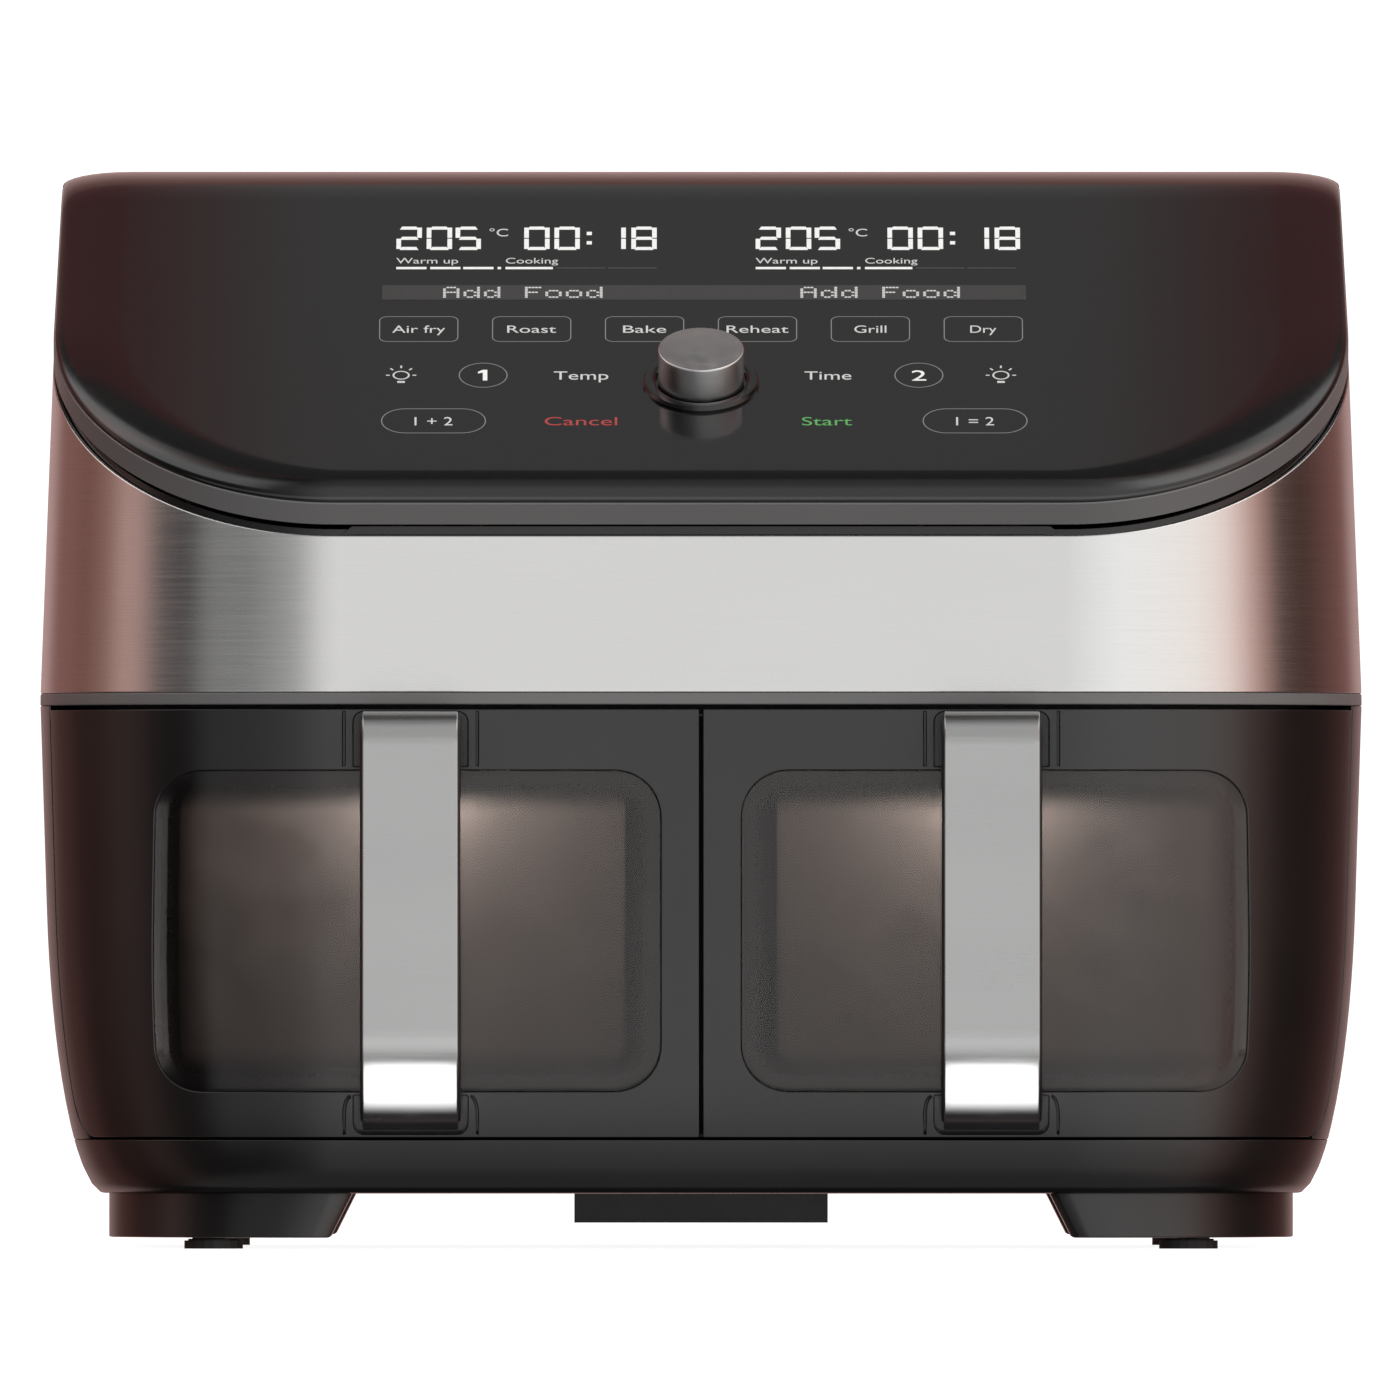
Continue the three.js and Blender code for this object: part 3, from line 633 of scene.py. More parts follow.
# Tempered window glass: a grey tint and a wiped film on its gloss. Both faces of each pane are
# meshed, so each face has a low index, and the four of them together reflect as two panes do.
window_glass = pane("tempered_window_glass", "#e6e3e2", 1.32, (0.03, 0.08))
inner_glass = pane("inner_window_glass", "#f0eeed", 1.18, (0.05, 0.12))

# Non-stick coating: dark, faintly metallic flakes in a satin film.
non_stick, tree, shader = finish("speckled_non_stick_coating", Metallic=0.2)
flakes = add(tree, "TexVoronoi", {"Vector": own_place(tree), "Scale": 1 / (1.6 * MM)})
specks = spread(tree, flakes.outputs["Distance"], 1, 0, 0.08, 0.16)
linked(tree, shader, Base_Color=tone(tree, specks, "#2a2625", "#4d4745"),
       Roughness=spread(tree, noise(tree, 12), 0.32, 0.46), Normal=bumped(tree, noise(tree, 1.4), 0.003))

# Circuit board: green solder mask over copper tracks.
board, tree, shader = finish("green_circuit_board")
tracks = add(tree, "TexBrick", {"Vector": own_place(tree), "Scale": 1 / (6 * MM), "Mortar Size": 0.08,
                                "Color1": colour("#123c22"), "Color2": colour("#16482a"),
                                "Mortar": colour("#2f7040")})
linked(tree, shader, Base_Color=tracks.outputs["Color"],
       Roughness=spread(tree, noise(tree, 5), 0.3, 0.45), Normal=bumped(tree, tracks.outputs["Fac"], 0.03))


# %% Printed and lit marks, and marks with a painted glow
def lit(name, code, strength):
    """A glowing mark: lit from behind the panel, or a painted glow where no lamp is behind it. The
    diffusing film makes its light slightly uneven.
    """
    made, tree, shader = finish(name, Roughness=0.4, Emission_Color=colour(code))
    linked(tree, shader, Base_Color=tone(tree, noise(tree, 2), "#101010", "#161616"),
           Emission_Strength=spread(tree, noise(tree, 1.5), strength * 0.92, strength * 1.04))
    return made


white_light = lit("lit_white_segments", "#f4f4f2", 1.0)
soft_light = lit("lit_soft_white_words", "#e2e2e0", 0.85)
# Grey key outlines: a grey print, made to glow as painted light rather than lit by a lamp.
grey_print_painted_glow = lit("grey_key_outlines", "#8c8c8c", 0.9)
# The unlit display window: its grey made to glow as painted light, though no lamp is behind it.
display_window_painted_glow = lit("unlit_display_window", "#4a4a4a", 0.55)
red_light = lit("lit_red_words", "#c04848", 0.8)
green_light = lit("lit_green_words", "#63b768", 0.8)
lamp_glass, tree, shader = finish("frosted_lamp_glass", Emission_Color=colour("#ffe3bd"), Roughness=0.5)
linked(tree, shader, Base_Color=tone(tree, noise(tree, 3), "#d8d2c8", "#efe8dc"),
       Emission_Strength=spread(tree, noise(tree, 4), 2.2, 3.0))
print(f"{len(bpy.data.materials)} materials so far")


# %% [markdown]
# ## The drawers
#
# A drawer front is one deep moulding. Its edges are drawn in at the front with a rounding of half
# a millimetre, and the rear lower corner has a 12 mm radius. The window is a rounded opening. The
# handle sits in a pocket above the window and another below it, with a thin groove on each side
# where the mould has an insert. Grooves and pockets are holes in the plate over a floor of their own.

# %% Sizes of the drawer front
WINDOW_X = (11.6, 158.3)
WINDOW_Z = (45.5, 138.5)
WINDOW_RADIUS = 13.5
DRAWER_TOE = 12
HANDLE_X = 84
POCKET_HALF = 16.5
POCKET_ROUND = 3
UPPER_POCKET = (139.6, 155.4)   # the lowest and highest z of each pocket
LOWER_POCKET = (33.2, 44.4)
ARCH_Z = 39                     # where the lower groove starts to lean inwards
INSERT_HALF = 19.25
GROOVE = 0.55
SIDES = {"right": 1, "left": -1}


def front_loop(points):
    """Moves points given by x and z onto the distance around the body."""
    return [(u_at_x(x, z), z) for x, z in points]


def groove_loop(line, width):
    """The outline of a narrow groove along a line."""
    points = np.array(line, float)
    ahead = np.gradient(points, axis=0)
    ahead /= np.linalg.norm(ahead, axis=1)[:, None]
    left = np.stack([-ahead[:, 1], ahead[:, 0]], axis=1) * width / 2
    return [tuple(p) for p in points - left] + [tuple(p) for p in (points + left)[::-1]]


def both_sides(name, skin, material, body, slot, nodes=()):
    """Shows a right-hand part and its mirror image. body and nodes are named without the side."""
    for side, sign in SIDES.items():
        rides = body if body == "root" else f"{body}_{side}"
        show_skin(f"{name}_{side}", skin if sign > 0 else mirrored(skin), material, rides, slot,
                  nodes=[f"{node}_{side}" for node in nodes])


def part(name, place, loop, depths, edge, material, body, slot, holes=(), nodes=(), pair=False, **meshing):
    """Meshes a plate and shows it. A pair has one on each side, mirrored."""
    skin = plate(place, loop, holes, depths, edge, **meshing)
    (both_sides if pair else show_skin)(name, skin, material, body, slot, nodes=nodes)
    print(f"{name}: {len(skin.faces)} faces")


drawer_end = u_at_y(DRAWER_EDGE_Y, DRAWER_Z[0])
drawer_outline = round_corners([(0.5, DRAWER_Z[0], 0.6), (drawer_end, DRAWER_Z[0], DRAWER_TOE),
                                (drawer_end, DRAWER_Z[1], 0.8), (0.5, DRAWER_Z[1], 0.6)])
holes = [front_loop(box_outline(WINDOW_X, WINDOW_Z, WINDOW_RADIUS, steps=10))]
left, right = HANDLE_X - POCKET_HALF, HANDLE_X + POCKET_HALF
for (low, high), low_round, high_round in ((UPPER_POCKET, 0.4, POCKET_ROUND),
                                           (LOWER_POCKET, POCKET_ROUND, 0.4)):
    holes.append(front_loop(round_corners([(left, low, low_round), (right, low, low_round),
                                           (right, high, high_round), (left, high, high_round)])))
for sign in (-1, 1):
    edge_x = HANDLE_X + sign * INSERT_HALF
    straight = [(edge_x, z) for z in (139.8, 145, 150, UPPER_POCKET[1])]
    arch = [(edge_x, z) for z in (LOWER_POCKET[0], 36, ARCH_Z)]
    arch += [(edge_x - sign * 2.0 * (1 - math.cos(a)), ARCH_Z + 5.2 * math.sin(a))
             for a in np.linspace(0.25, 1.45, 6)]
    holes += [front_loop(groove_loop(line, GROOVE)) for line in (straight, arch)]
part("drawer_front", on_body, drawer_outline, (0, 12), (0.35, 0.5), satin_abs, "drawer", "housing",
     holes, ["drawer_front"], pair=True, spacing=5)

# %% Floors of the pockets and grooves
for name, z_range, depth in (("upper", (139, 156), 2.4), ("lower", (32.8, 45), 3.0)):
    around_handle = box_outline((HANDLE_X - 21.5, HANDLE_X + 21.5), z_range, 0.5)
    part(f"{name}_pocket_floor", on_body, front_loop(around_handle), (depth, depth + 3), (0.2, 0.2),
         satin_abs, "drawer", "housing", pair=True, steps=1)

# %% Windows
GLASS_GAP = 0.12
glass_x, glass_z = [(low + GLASS_GAP, high - GLASS_GAP) for low, high in (WINDOW_X, WINDOW_Z)]
glass_loop = box_outline(glass_x, glass_z, WINDOW_RADIUS - GLASS_GAP, steps=10)
part("window_glass", on_body, front_loop(glass_loop), (0.45, 3.6), (0.2, 0.2), window_glass, "drawer",
     "glass", nodes=["window_glass"], pair=True, spacing=5)

# %% [markdown]
# ### Window mask
#
# The back of a window glass carries a printed black border that hides the seal and fades inwards
# as dots. On this one the fade is wide and soft. A film just behind the glass does it: it covers
# the whole window, and a formula for the distance in from the rounded edge makes it clear inside.

# %% Window mask
FADE = (1.5, 14)                # the border is black up to here, and gone from here on
mask, tree, shader = finish("printed_window_border", Base_Color=colour("#0a0a0a"), Roughness=0.4)


def rounded_distance(tree, along, height, half_x, half_z, radius):
    """Distance in from a rounded rectangle's edge, positive inside, from offsets to its middle."""
    ways = [calc(tree, "SUBTRACT", calc(tree, "ABSOLUTE", offset), half - radius)
            for offset, half in ((along, half_x), (height, half_z))]
    clipped = [calc(tree, "MAXIMUM", way) for way in ways]
    corner = add(tree, "CombineXYZ", {"X": clipped[0], "Y": clipped[1]})
    outside = add(tree, "VectorMath", {0: corner.outputs[0]}, operation="LENGTH").outputs["Value"]
    inside = calc(tree, "MINIMUM", calc(tree, "MAXIMUM", *ways))
    return calc(tree, "SUBTRACT", radius, calc(tree, "ADD", outside, inside))


where = add(tree, "SeparateXYZ", {0: own_place(tree)})
across = calc(tree, "ABSOLUTE", where.outputs["X"])
along = calc(tree, "SUBTRACT", across, sum(WINDOW_X) / 2 * MM)
height = calc(tree, "SUBTRACT", where.outputs["Z"], sum(WINDOW_Z) / 2 * MM)
half_x, half_z = [(high - low) / 2 * MM for low, high in (WINDOW_X, WINDOW_Z)]
depth_in = rounded_distance(tree, along, height, half_x, half_z, WINDOW_RADIUS * MM)
fade = add(tree, "MapRange", {"Value": depth_in, "From Min": FADE[0] * MM, "From Max": FADE[1] * MM,
                              "To Min": 1.0, "To Max": 0.0}, interpolation_type="SMOOTHERSTEP")
dots = spread(tree, noise(tree, 0.7, detail=1), 0.9, 1.1)
linked(tree, shader, Alpha=calc(tree, "MULTIPLY", fade.outputs[0], dots, use_clamp=True))
part("window_border", on_body, front_loop(glass_loop), (3.7, 3.8), (0.05, 0.05), mask, "drawer", "glass",
     pair=True, spacing=5, steps=1)

# %% [markdown]
# ## Handles
#
# Each handle is a strip of 2 mm stainless steel bent over the top of the drawer, down the front
# and back in under it, with a black moulded grip lining its inner side. Both are plates bent onto
# one profile: the same builder as before, on a surface given by the strip's length and its width.

# %% The handle's profile
HANDLE_FRONT_Y = span("handle_strap_right", 1)[0]
HANDLE_TOP_Z = span("handle_strap_right", 2)[1]
BEND = 8
BEND_Y = HANDLE_FRONT_Y + BEND
SWEEP_Z = 62
SWEEP = (36.0, 27.5)
TOP_END_Y = -168.7
TAIL_Y = -166                   # where the sweep ends under the drawer and the flat tail starts
TAIL_RUN = 2.5
TOP_RUN = TOP_END_Y - BEND_Y
DOWN_RUN = HANDLE_TOP_Z - BEND - SWEEP_Z
SWEEP_RUN = 50.2
LENGTHS = [TOP_RUN, BEND * math.pi / 2, DOWN_RUN, SWEEP_RUN, TAIL_RUN]
RUN = sum(LENGTHS)


def on_handle(x, climb, depth):
    """A point of the handle: x across it, climb along it from its lower end, depth under its face."""
    stops = np.cumsum(LENGTHS)
    s = RUN - climb
    if s <= stops[0]:
        y, z, out_y, out_z = BEND_Y + TOP_RUN - s, HANDLE_TOP_Z - depth, 0, 1
    elif s <= stops[1]:
        angle = (s - stops[0]) / BEND
        out_y, out_z = -math.sin(angle), math.cos(angle)
        y, z = BEND_Y + (BEND - depth) * out_y, HANDLE_TOP_Z - BEND + (BEND - depth) * out_z
    elif s <= stops[2]:
        y, z, out_y, out_z = HANDLE_FRONT_Y + depth, HANDLE_TOP_Z - BEND - (s - stops[1]), -1, 0
    elif s <= stops[3]:
        angle = (s - stops[2]) / SWEEP_RUN * math.pi / 2
        y = HANDLE_FRONT_Y + SWEEP[0] - (SWEEP[0] - depth) * math.cos(angle)
        z = SWEEP_Z - (SWEEP[1] - depth) * math.sin(angle)
        out_y, out_z = -math.cos(angle) / SWEEP[0], -math.sin(angle) / SWEEP[1]
    else:
        y, z, out_y, out_z = TAIL_Y + s - stops[3], SWEEP_Z - SWEEP[1] + depth, 0, -1
    out = Vector((0, out_y, out_z)).normalized()
    across = Vector((1, 0, 0))
    return Vector((x, y, z)), out, across, out.cross(across)


print(f"a handle is bent from {RUN:.0f} mm of strip")

# %% Strap and grip
for name, half_width, depths, rim, material, slot in (
        ("handle_strap", 13.85, (0, 2), 0.45, handle_steel, "brushed_steel"),
        # The grip's darker black is painted shade of the recess behind the strap.
        ("handle_grip", 14.5, (2.3, 7), 0.8, black_with_painted_shade, "trim_grey")):
    bent = box_outline((HANDLE_X - half_width, HANDLE_X + half_width), (0.1, RUN - 0.1), 0.6, steps=3)
    part(name, on_handle, bent, depths, (rim, rim), material, "drawer", slot, nodes=[name], pair=True,
         spacing=2.4)

# %% [markdown]
# ## The housing
#
# Above the drawers run a dark grey bezel and then the steel band, whose top edge follows the
# panel's slope and so dips in a curve around both front corners. A black moulding shows as a thin
# rim above the steel. The sides, the rear with its vents, and the base skirt finish the shell.

# %% Bezel and gaskets
U_BEZEL = u_at_y(span("bezel", 1)[1], BEZEL_Z[0]) - 0.4
bezel_loop = box_outline((-U_BEZEL, U_BEZEL), BEZEL_Z, 0.3, steps=2)
part("bezel_strip", on_body, bezel_loop, (0, 8), (0.45, 0.45), trim_grey, "root", "trim_grey",
     nodes=["bezel"], spacing=5)

# A black gasket behind the drawers' upper edge and middle seam stops light from the chambers.
GASKET_DEPTH = (12.2, 13.6)     # just behind the drawer fronts, which are 12 deep
gasket_end = u_at_y(DRAWER_EDGE_Y, BEZEL_Z[0]) - 3
for name, half_width, z_range in (("upper", gasket_end, (DRAWER_Z[1] - 1.5, BEZEL_Z[0] + 0.1)),
                                  ("middle", 5, (DRAWER_Z[0] + 1, DRAWER_Z[1] - 2))):
    gasket_loop = box_outline((-half_width, half_width), z_range, 0)
    part(f"{name}_gasket", on_body, gasket_loop, GASKET_DEPTH, (0.2, 0.2), rubber, "root", "rubber",
         spacing=5, steps=1)

# %% Steel band
STEEL_DROP = 13.8
RIM_DROP = 11.8
FRAME_DROP = 10.6


def under_top(u_from, u_to, drop, step=3.0):
    """Points (u, z) along the edge where the skin meets the lowered top profile."""
    count = max(2, math.ceil(abs(u_to - u_from) / step))
    return [(u, height_under_top(u, drop)) for u in np.linspace(u_from, u_to, count + 1)]


def u_at_y_under_top(y, drop):
    """Distance around to the point at a given y on the lowered top profile."""
    return u_at_y(y, top_height(y) - drop)


U_BAND = u_at_y_under_top(BAND_REAR_Y, STEEL_DROP)
BAND_LOW = BEZEL_Z[1] + 0.05
band_loop = [(-U_BAND, BAND_LOW), (U_BAND, BAND_LOW)] + under_top(U_BAND, -U_BAND, STEEL_DROP)
part("steel_band", on_body, band_loop, (0, 1), (0.45, 0.4), brushed_steel, "root", "brushed_steel",
     nodes=["steel_band"], spacing=5)

# %% Rim and lip over the steel
rim_loop = under_top(-U_BAND, U_BAND, STEEL_DROP + 2) + under_top(U_BAND, -U_BAND, RIM_DROP)
part("housing_rim", on_body, rim_loop, (1.5, 4.3), (0.3, 0.3), satin_abs, "root", "housing",
     nodes=["front_housing"], spacing=5)
LIP_X = 101
LIP_SPLAY = 3
lip_low = height_under_top(0, STEEL_DROP) + 0.25
lip_high = height_under_top(0, FRAME_DROP) - 0.35
lip_loop = [(-LIP_X - LIP_SPLAY, lip_low), (LIP_X + LIP_SPLAY, lip_low), (LIP_X, lip_high),
            (-LIP_X, lip_high)]
part("lip_insert", on_body, lip_loop, (0.9, 4), (0.3, 0.3), satin_abs, "root", "housing", spacing=5)

# %% Side panels, with the toe that fits around the drawer's rounded corner
SIDE_REAR_Y = 150.3
u_low = u_at_y(DRAWER_EDGE_Y, DRAWER_Z[0]) + 0.5
u_rear = SIDE_END + REAR_RADIUS * math.asin((SIDE_REAR_Y - REAR_CORNER_Y) / REAR_RADIUS)
toe = [(u_low - DRAWER_TOE + (DRAWER_TOE + 0.1) * math.sin(a),
        DRAWER_Z[0] - 0.35 + DRAWER_TOE * (1 - math.cos(a))) for a in np.linspace(0.35, math.pi / 2, 7)]
side_loop = [(toe[0][0], DRAWER_Z[0] - 0.6), (u_rear, DRAWER_Z[0] - 0.6)]
side_loop += under_top(u_rear, U_BAND + 0.4, RIM_DROP)
side_loop += [(U_BAND + 0.4, BEZEL_Z[0]), (u_low, BEZEL_Z[0])] + toe[::-1]
part("side_panel", on_body, side_loop, (0, 3), (0.35, 0.5), satin_abs, "root", "housing",
     nodes=["side_panel"], pair=True, spacing=7)

# %% Rear cover and its vents
VENT_X = (38, 84)
VENT_ROWS = [214 + 12 * row for row in range(5)]
VENT_SIZE = (36, 5)
vents = []
for x in VENT_X:
    for side in (-1, 1):
        low, high = [HALF_LOOP + side * x + end * VENT_SIZE[0] / 2 for end in (-1, 1)]
        vents += [box_outline((low, high), (z, z + VENT_SIZE[1]), 2.2, steps=3) for z in VENT_ROWS]
GLAND = (130, 90)
gland_hole = circle(HALF_LOOP - GLAND[0], GLAND[1], 7.2)
rear_loop = [(u_rear + 0.6, DRAWER_Z[0] - 0.6), (2 * HALF_LOOP - u_rear - 0.6, DRAWER_Z[0] - 0.6)]
rear_loop += under_top(2 * HALF_LOOP - u_rear - 0.6, u_rear + 0.6, RIM_DROP)
part("rear_cover", on_body, rear_loop, (0, 3), (0.5, 0.6), satin_abs, "root", "housing",
     vents + [gland_hole], ["rear_cover"], spacing=7)

# %% [markdown]
# ### Base
#
# The skirt closes the shell under the drawers. It tucks in strongly and ends in a soft lower edge.
# The floor of the base and its four foot blocks face down, so they are plates on a level plane
# looked at from below. The inner end of each block slopes.

# %% Base skirt
skirt_loop = box_outline((-HALF_LOOP + 0.01, HALF_LOOP - 0.01), (SKIRT_Z[0], SKIRT_Z[1] - 0.1), 0)
part("base_skirt", on_body, skirt_loop, (0, 4), (0.35, 0.5), satin_abs, "root", "housing",
     nodes=["base_pan"], spacing=5)


# %% Base floor
def on_base(level, slope=0, inner_x=0, reach=40):
    """A level surface seen from below. Near its inner end, at inner_x, its walls can slope."""
    def place(x, v, depth):
        share = max(0, 1 - (abs(x) - inner_x) / reach) if slope else 0
        moved = x - math.copysign(slope * share * depth, x)
        down = Vector((0, 0, -1))
        return Vector((moved, -v, level + depth)), down, Vector((1, 0, 0)), Vector((0, -1, 0))
    return place


floor_inset = body_inset(SKIRT_Z[0]) + 1
loop = [around(u, floor_inset)[:2] for u in np.linspace(-HALF_LOOP, HALF_LOOP, 160, endpoint=False)]
base_loop = [(x, -y) for x, y in loop][::-1]
part("base_floor", on_base(SKIRT_Z[0] + 0.4), base_loop, (0, 2), (0.5, 0.5), satin_abs, "root", "housing",
     spacing=25)

# %% Foot blocks
FOOT_Z = 3.2
FOOT_HEIGHT = 13
FOOT_INNER_X = 107.5
FOOT_SLOPE = 0.5
FOOT_INSET = 20
for name, y_low, y_high in (("front", -151, -80), ("rear", 95, 167)):
    edge = [around(u, FOOT_INSET)[:2] for u in np.linspace(CORNER_X, REAR_START, 180)]
    edge = [(x, y) for x, y in edge if x > FOOT_INNER_X + 6 and y_low <= y <= y_high][::3]
    block = [(FOOT_INNER_X, y_low), *edge, (edge[-1][0], y_high), (FOOT_INNER_X, y_high)]
    below = [(x, -y) for x, y in block][::-1]
    part(f"foot_block_{name}", on_base(FOOT_Z, FOOT_SLOPE, FOOT_INNER_X), below, (0, FOOT_HEIGHT),
         (1.4, 0.4), satin_abs, "root", "housing", pair=True, spacing=10)

# %% [markdown]
# ## The panel
#
# The control panel is one glossy moulding that rolls over at the back into the flat top cover. It
# has a wide soft shoulder at the sides and a tighter roll at the front, and a dark grey frame
# shows below it. Its plan is the body's outline, cut where the flat top starts.

# %% Panel surface
def on_top(x, y, depth):
    """A point of the top: the panel, the roll-over or the flat cover, seen from above."""
    rise = (top_height(y + 0.05) - top_height(y - 0.05)) / 0.1
    out = Vector((0, -rise, 1)).normalized()
    across = Vector((1, 0, 0))
    return Vector((x, y, top_height(y) - depth)), out, across, out.cross(across)


PANEL_THICK = 4.2
ROLL_FRONT = 9
ROLL_SIDE = 11


def top_outline(y_from, y_to, drop, step=3.0):
    """Plan of the body under the lowered top, closed by straight seams across at its ends."""
    first = u_at_y_under_top(y_from, drop) if y_from > FRONT_Y else 0
    last = u_at_y_under_top(y_to, drop) if y_to < REAR_Y else HALF_LOOP
    us = list(np.linspace(first, last, math.ceil((last - first) / step)))
    right = [around(u, body_inset(height_under_top(u, drop)))[:2] for u in us]
    left = [(-x, y) for x, y in right[::-1]]
    if y_to >= REAR_Y:
        left = left[1:]
    if y_from <= FRONT_Y:
        left = left[:-1]
    return right + left


def seam_points(x_edge, y, clear, step):
    """Points across a seam that stay clear of the rolled shoulders."""
    reach = x_edge - clear
    return [(x, y) for x in np.linspace(reach, -reach, math.ceil(2 * reach / step))]


def shoulders(seam_y):
    """Rounds the rim more at the sides than at the front, and hardly at all along the seam."""
    def mend(points, lean, width, drop):
        lean, width, drop = lean.copy(), width.copy(), drop.copy()
        edge = np.abs(points[:, 0]).max()
        for i, (x, y) in enumerate(points):
            length = math.hypot(*lean[i])
            width[i] = ROLL_FRONT + ROLL_SIDE * abs(lean[i][0]) / length
            if abs(y - seam_y) < 1e-6:
                on_corner = abs(x) > edge - ROLL_FRONT
                lean[i] = (-math.copysign(1, x), 0) if on_corner else (0, math.copysign(1, lean[i][1]))
                width[i] = ROLL_FRONT + ROLL_SIDE if on_corner else 0.1
                drop[i] = drop[i] if on_corner else 0.1
        return lean, width, drop
    return mend


panel_loop = top_outline(FRONT_Y, ROLL_Y, PANEL_THICK)
seam_edge = [x for x, y in panel_loop if abs(y - ROLL_Y) < 1e-3][0]
right_end = next(i for i, (x, y) in enumerate(panel_loop) if abs(y - ROLL_Y) < 1e-3 and x > 0)
panel_loop = [(x, ROLL_Y if abs(y - ROLL_Y) < 1e-3 else y) for x, y in panel_loop]
panel_loop[right_end + 1:right_end + 1] = seam_points(seam_edge, ROLL_Y, ROLL_FRONT + ROLL_SIDE + 1, 8)
part("control_panel", on_top, panel_loop, (0, PANEL_THICK + 0.2), (ROLL_FRONT, PANEL_THICK), gloss_panel,
     "root", "gloss_panel", nodes=["control_panel"], spacing=5, steps=8, mend=shoulders(ROLL_Y), ready=True)

# %% Panel frame
frame_loop = top_outline(FRONT_Y, ROLL_Y, FRAME_DROP)
part("panel_frame", on_top, frame_loop, (PANEL_THICK + 0.3, FRAME_DROP), (0.4, 0.4), trim_grey, "root",
     "trim_grey", nodes=["panel_frame"], spacing=8, ready=True)

# %% Top cover
COVER_Y = ROLL_Y + 0.4
cover_loop = top_outline(COVER_Y, REAR_Y, FRAME_DROP)
cover_loop = [(x, COVER_Y if abs(y - COVER_Y) < 1e-3 else y) for x, y in cover_loop]
cover_loop += seam_points(cover_loop[0][0], COVER_Y, ROLL_FRONT + ROLL_SIDE + 1, 8)[::-1]
part("top_cover", on_top, cover_loop, (0, FRAME_DROP), (ROLL_FRONT, PANEL_THICK), gloss_panel, "root",
     "housing", nodes=["top_cover"], spacing=8, steps=8, mend=shoulders(COVER_Y), ready=True)

# %% [markdown]
# ## Knob
#
# The knob is turned from aluminium: a flat satin top with a bright chamfer, and a brushed side.
# It stands over a shadow gap in a low black collar. Turned parts are a profile swept around an
# axis, with the axis square to the panel.

# %% Turned parts
def turned(profile, centre, axis, around_steps=64):
    """Points and faces of a profile [(radius, height), ...] swept around an axis."""
    axis = Vector(axis).normalized()
    first = axis.orthogonal().normalized()
    second = axis.cross(first)
    points, faces = [], []
    for radius, height in profile:
        for k in range(around_steps):
            angle = 2 * math.pi * k / around_steps
            spoke = first * math.cos(angle) + second * math.sin(angle)
            points.append(Vector(centre) + axis * height + spoke * radius)
    rows = len(profile)
    for row in range(rows - 1):
        for k in range(around_steps):
            k2 = (k + 1) % around_steps
            faces.append((row * around_steps + k, row * around_steps + k2,
                          (row + 1) * around_steps + k2, (row + 1) * around_steps + k))
    faces.append(tuple(range(around_steps))[::-1])
    faces.append(tuple((rows - 1) * around_steps + k for k in range(around_steps)))
    return points, faces


def rounded_profile(radius, low, high, corner, steps=5):
    """A turned disc's profile with its upper corner rounded."""
    arc = [(radius - corner * (1 - math.cos(a)), high - corner * (1 - math.sin(a)))
           for a in np.linspace(0, math.pi / 2, steps)]
    return [(radius * 0.5, low), (radius, low)] + arc


KNOB_Y = -118.9
KNOB_RADIUS = 12.5
KNOB_HEIGHT = 11.6
PANEL_UP = Vector((0, -math.sin(PANEL_TILT), math.cos(PANEL_TILT)))
knob_foot = Vector((0, KNOB_Y, top_height(KNOB_Y)))
knob_top = knob_foot + PANEL_UP * KNOB_HEIGHT
# Turned aluminium: rings that catch the light as a soft fan.
knob_metal = turned_metal("turned_satin_aluminium", "#b2b2b2", "#c8c8c8", (0.30, 0.42),
                          tuple(knob_top * MM))
knob_shape = turned(rounded_profile(KNOB_RADIUS, 0.9, KNOB_HEIGHT, 0.5), knob_foot, PANEL_UP)
show_faces("knob", *knob_shape, knob_metal, "knob", "knob_metal", nodes=["knob"])
collar = turned([(13.3, 0), (16.9, 0), (16.9, 0.6), (16.2, 1.4), (14.2, 1.6), (13.4, 1.2), (13.3, 0.1)],
                knob_foot, PANEL_UP)
collar[1][-2:] = []             # a collar is open at both ends
show_faces("knob_collar", *collar, gloss_panel, "root", "gloss_panel", nodes=["knob_collar"])
print(f"knob: {2 * KNOB_RADIUS:.0f} mm across, {KNOB_HEIGHT} mm high")

# %% [markdown]
# ## Marks on the panel
#
# The display and the touch-key words are lit through the glossy panel; the grey key outlines and the unlit
# display window glow as painted light. All show as crisp flat marks.
# Each mark is cut from a sheet that lies 0.05 mm over the panel. A mark is placed by its distance
# across the panel and its distance up the slope from the knob. Only digits and everyday cooking
# words are used.

# %% A sheet for each glowing colour, lit or painted glow
MARK_LIFT = 0.05
LETTER_LIFT = 0.09              # dot letters lie over the strip behind them
UP_SLOPE = Vector((0, math.cos(PANEL_TILT), math.sin(PANEL_TILT)))
sheets = {}


def mark(light, corners, faces=None, lift=MARK_LIFT):
    """Adds a flat mark, given by its corners, to the sheet of one glowing colour, lit or painted glow."""
    points, polygons = sheets.setdefault(light.name, ([], []))
    first = len(points)
    points += [knob_foot + Vector((x, 0, 0)) + UP_SLOPE * v + PANEL_UP * lift for x, v in corners]
    polygons += [tuple(first + i for i in face) for face in faces or [range(len(corners))]]


def block_mark(light, x, v, width, height, lift=MARK_LIFT):
    """A rectangular mark from its lower left corner."""
    mark(light, [(x, v), (x + width, v), (x + width, v + height), (x, v + height)], lift=lift)


def outline_mark(light, loop, width):
    """A line of a given width along the inside of a closed outline."""
    line = np.array(loop)
    inner = line + leaning(loop) * width
    count = len(line)
    mark(light, [*line, *inner],
         [(i, (i + 1) % count, count + (i + 1) % count, count + i) for i in range(count)])


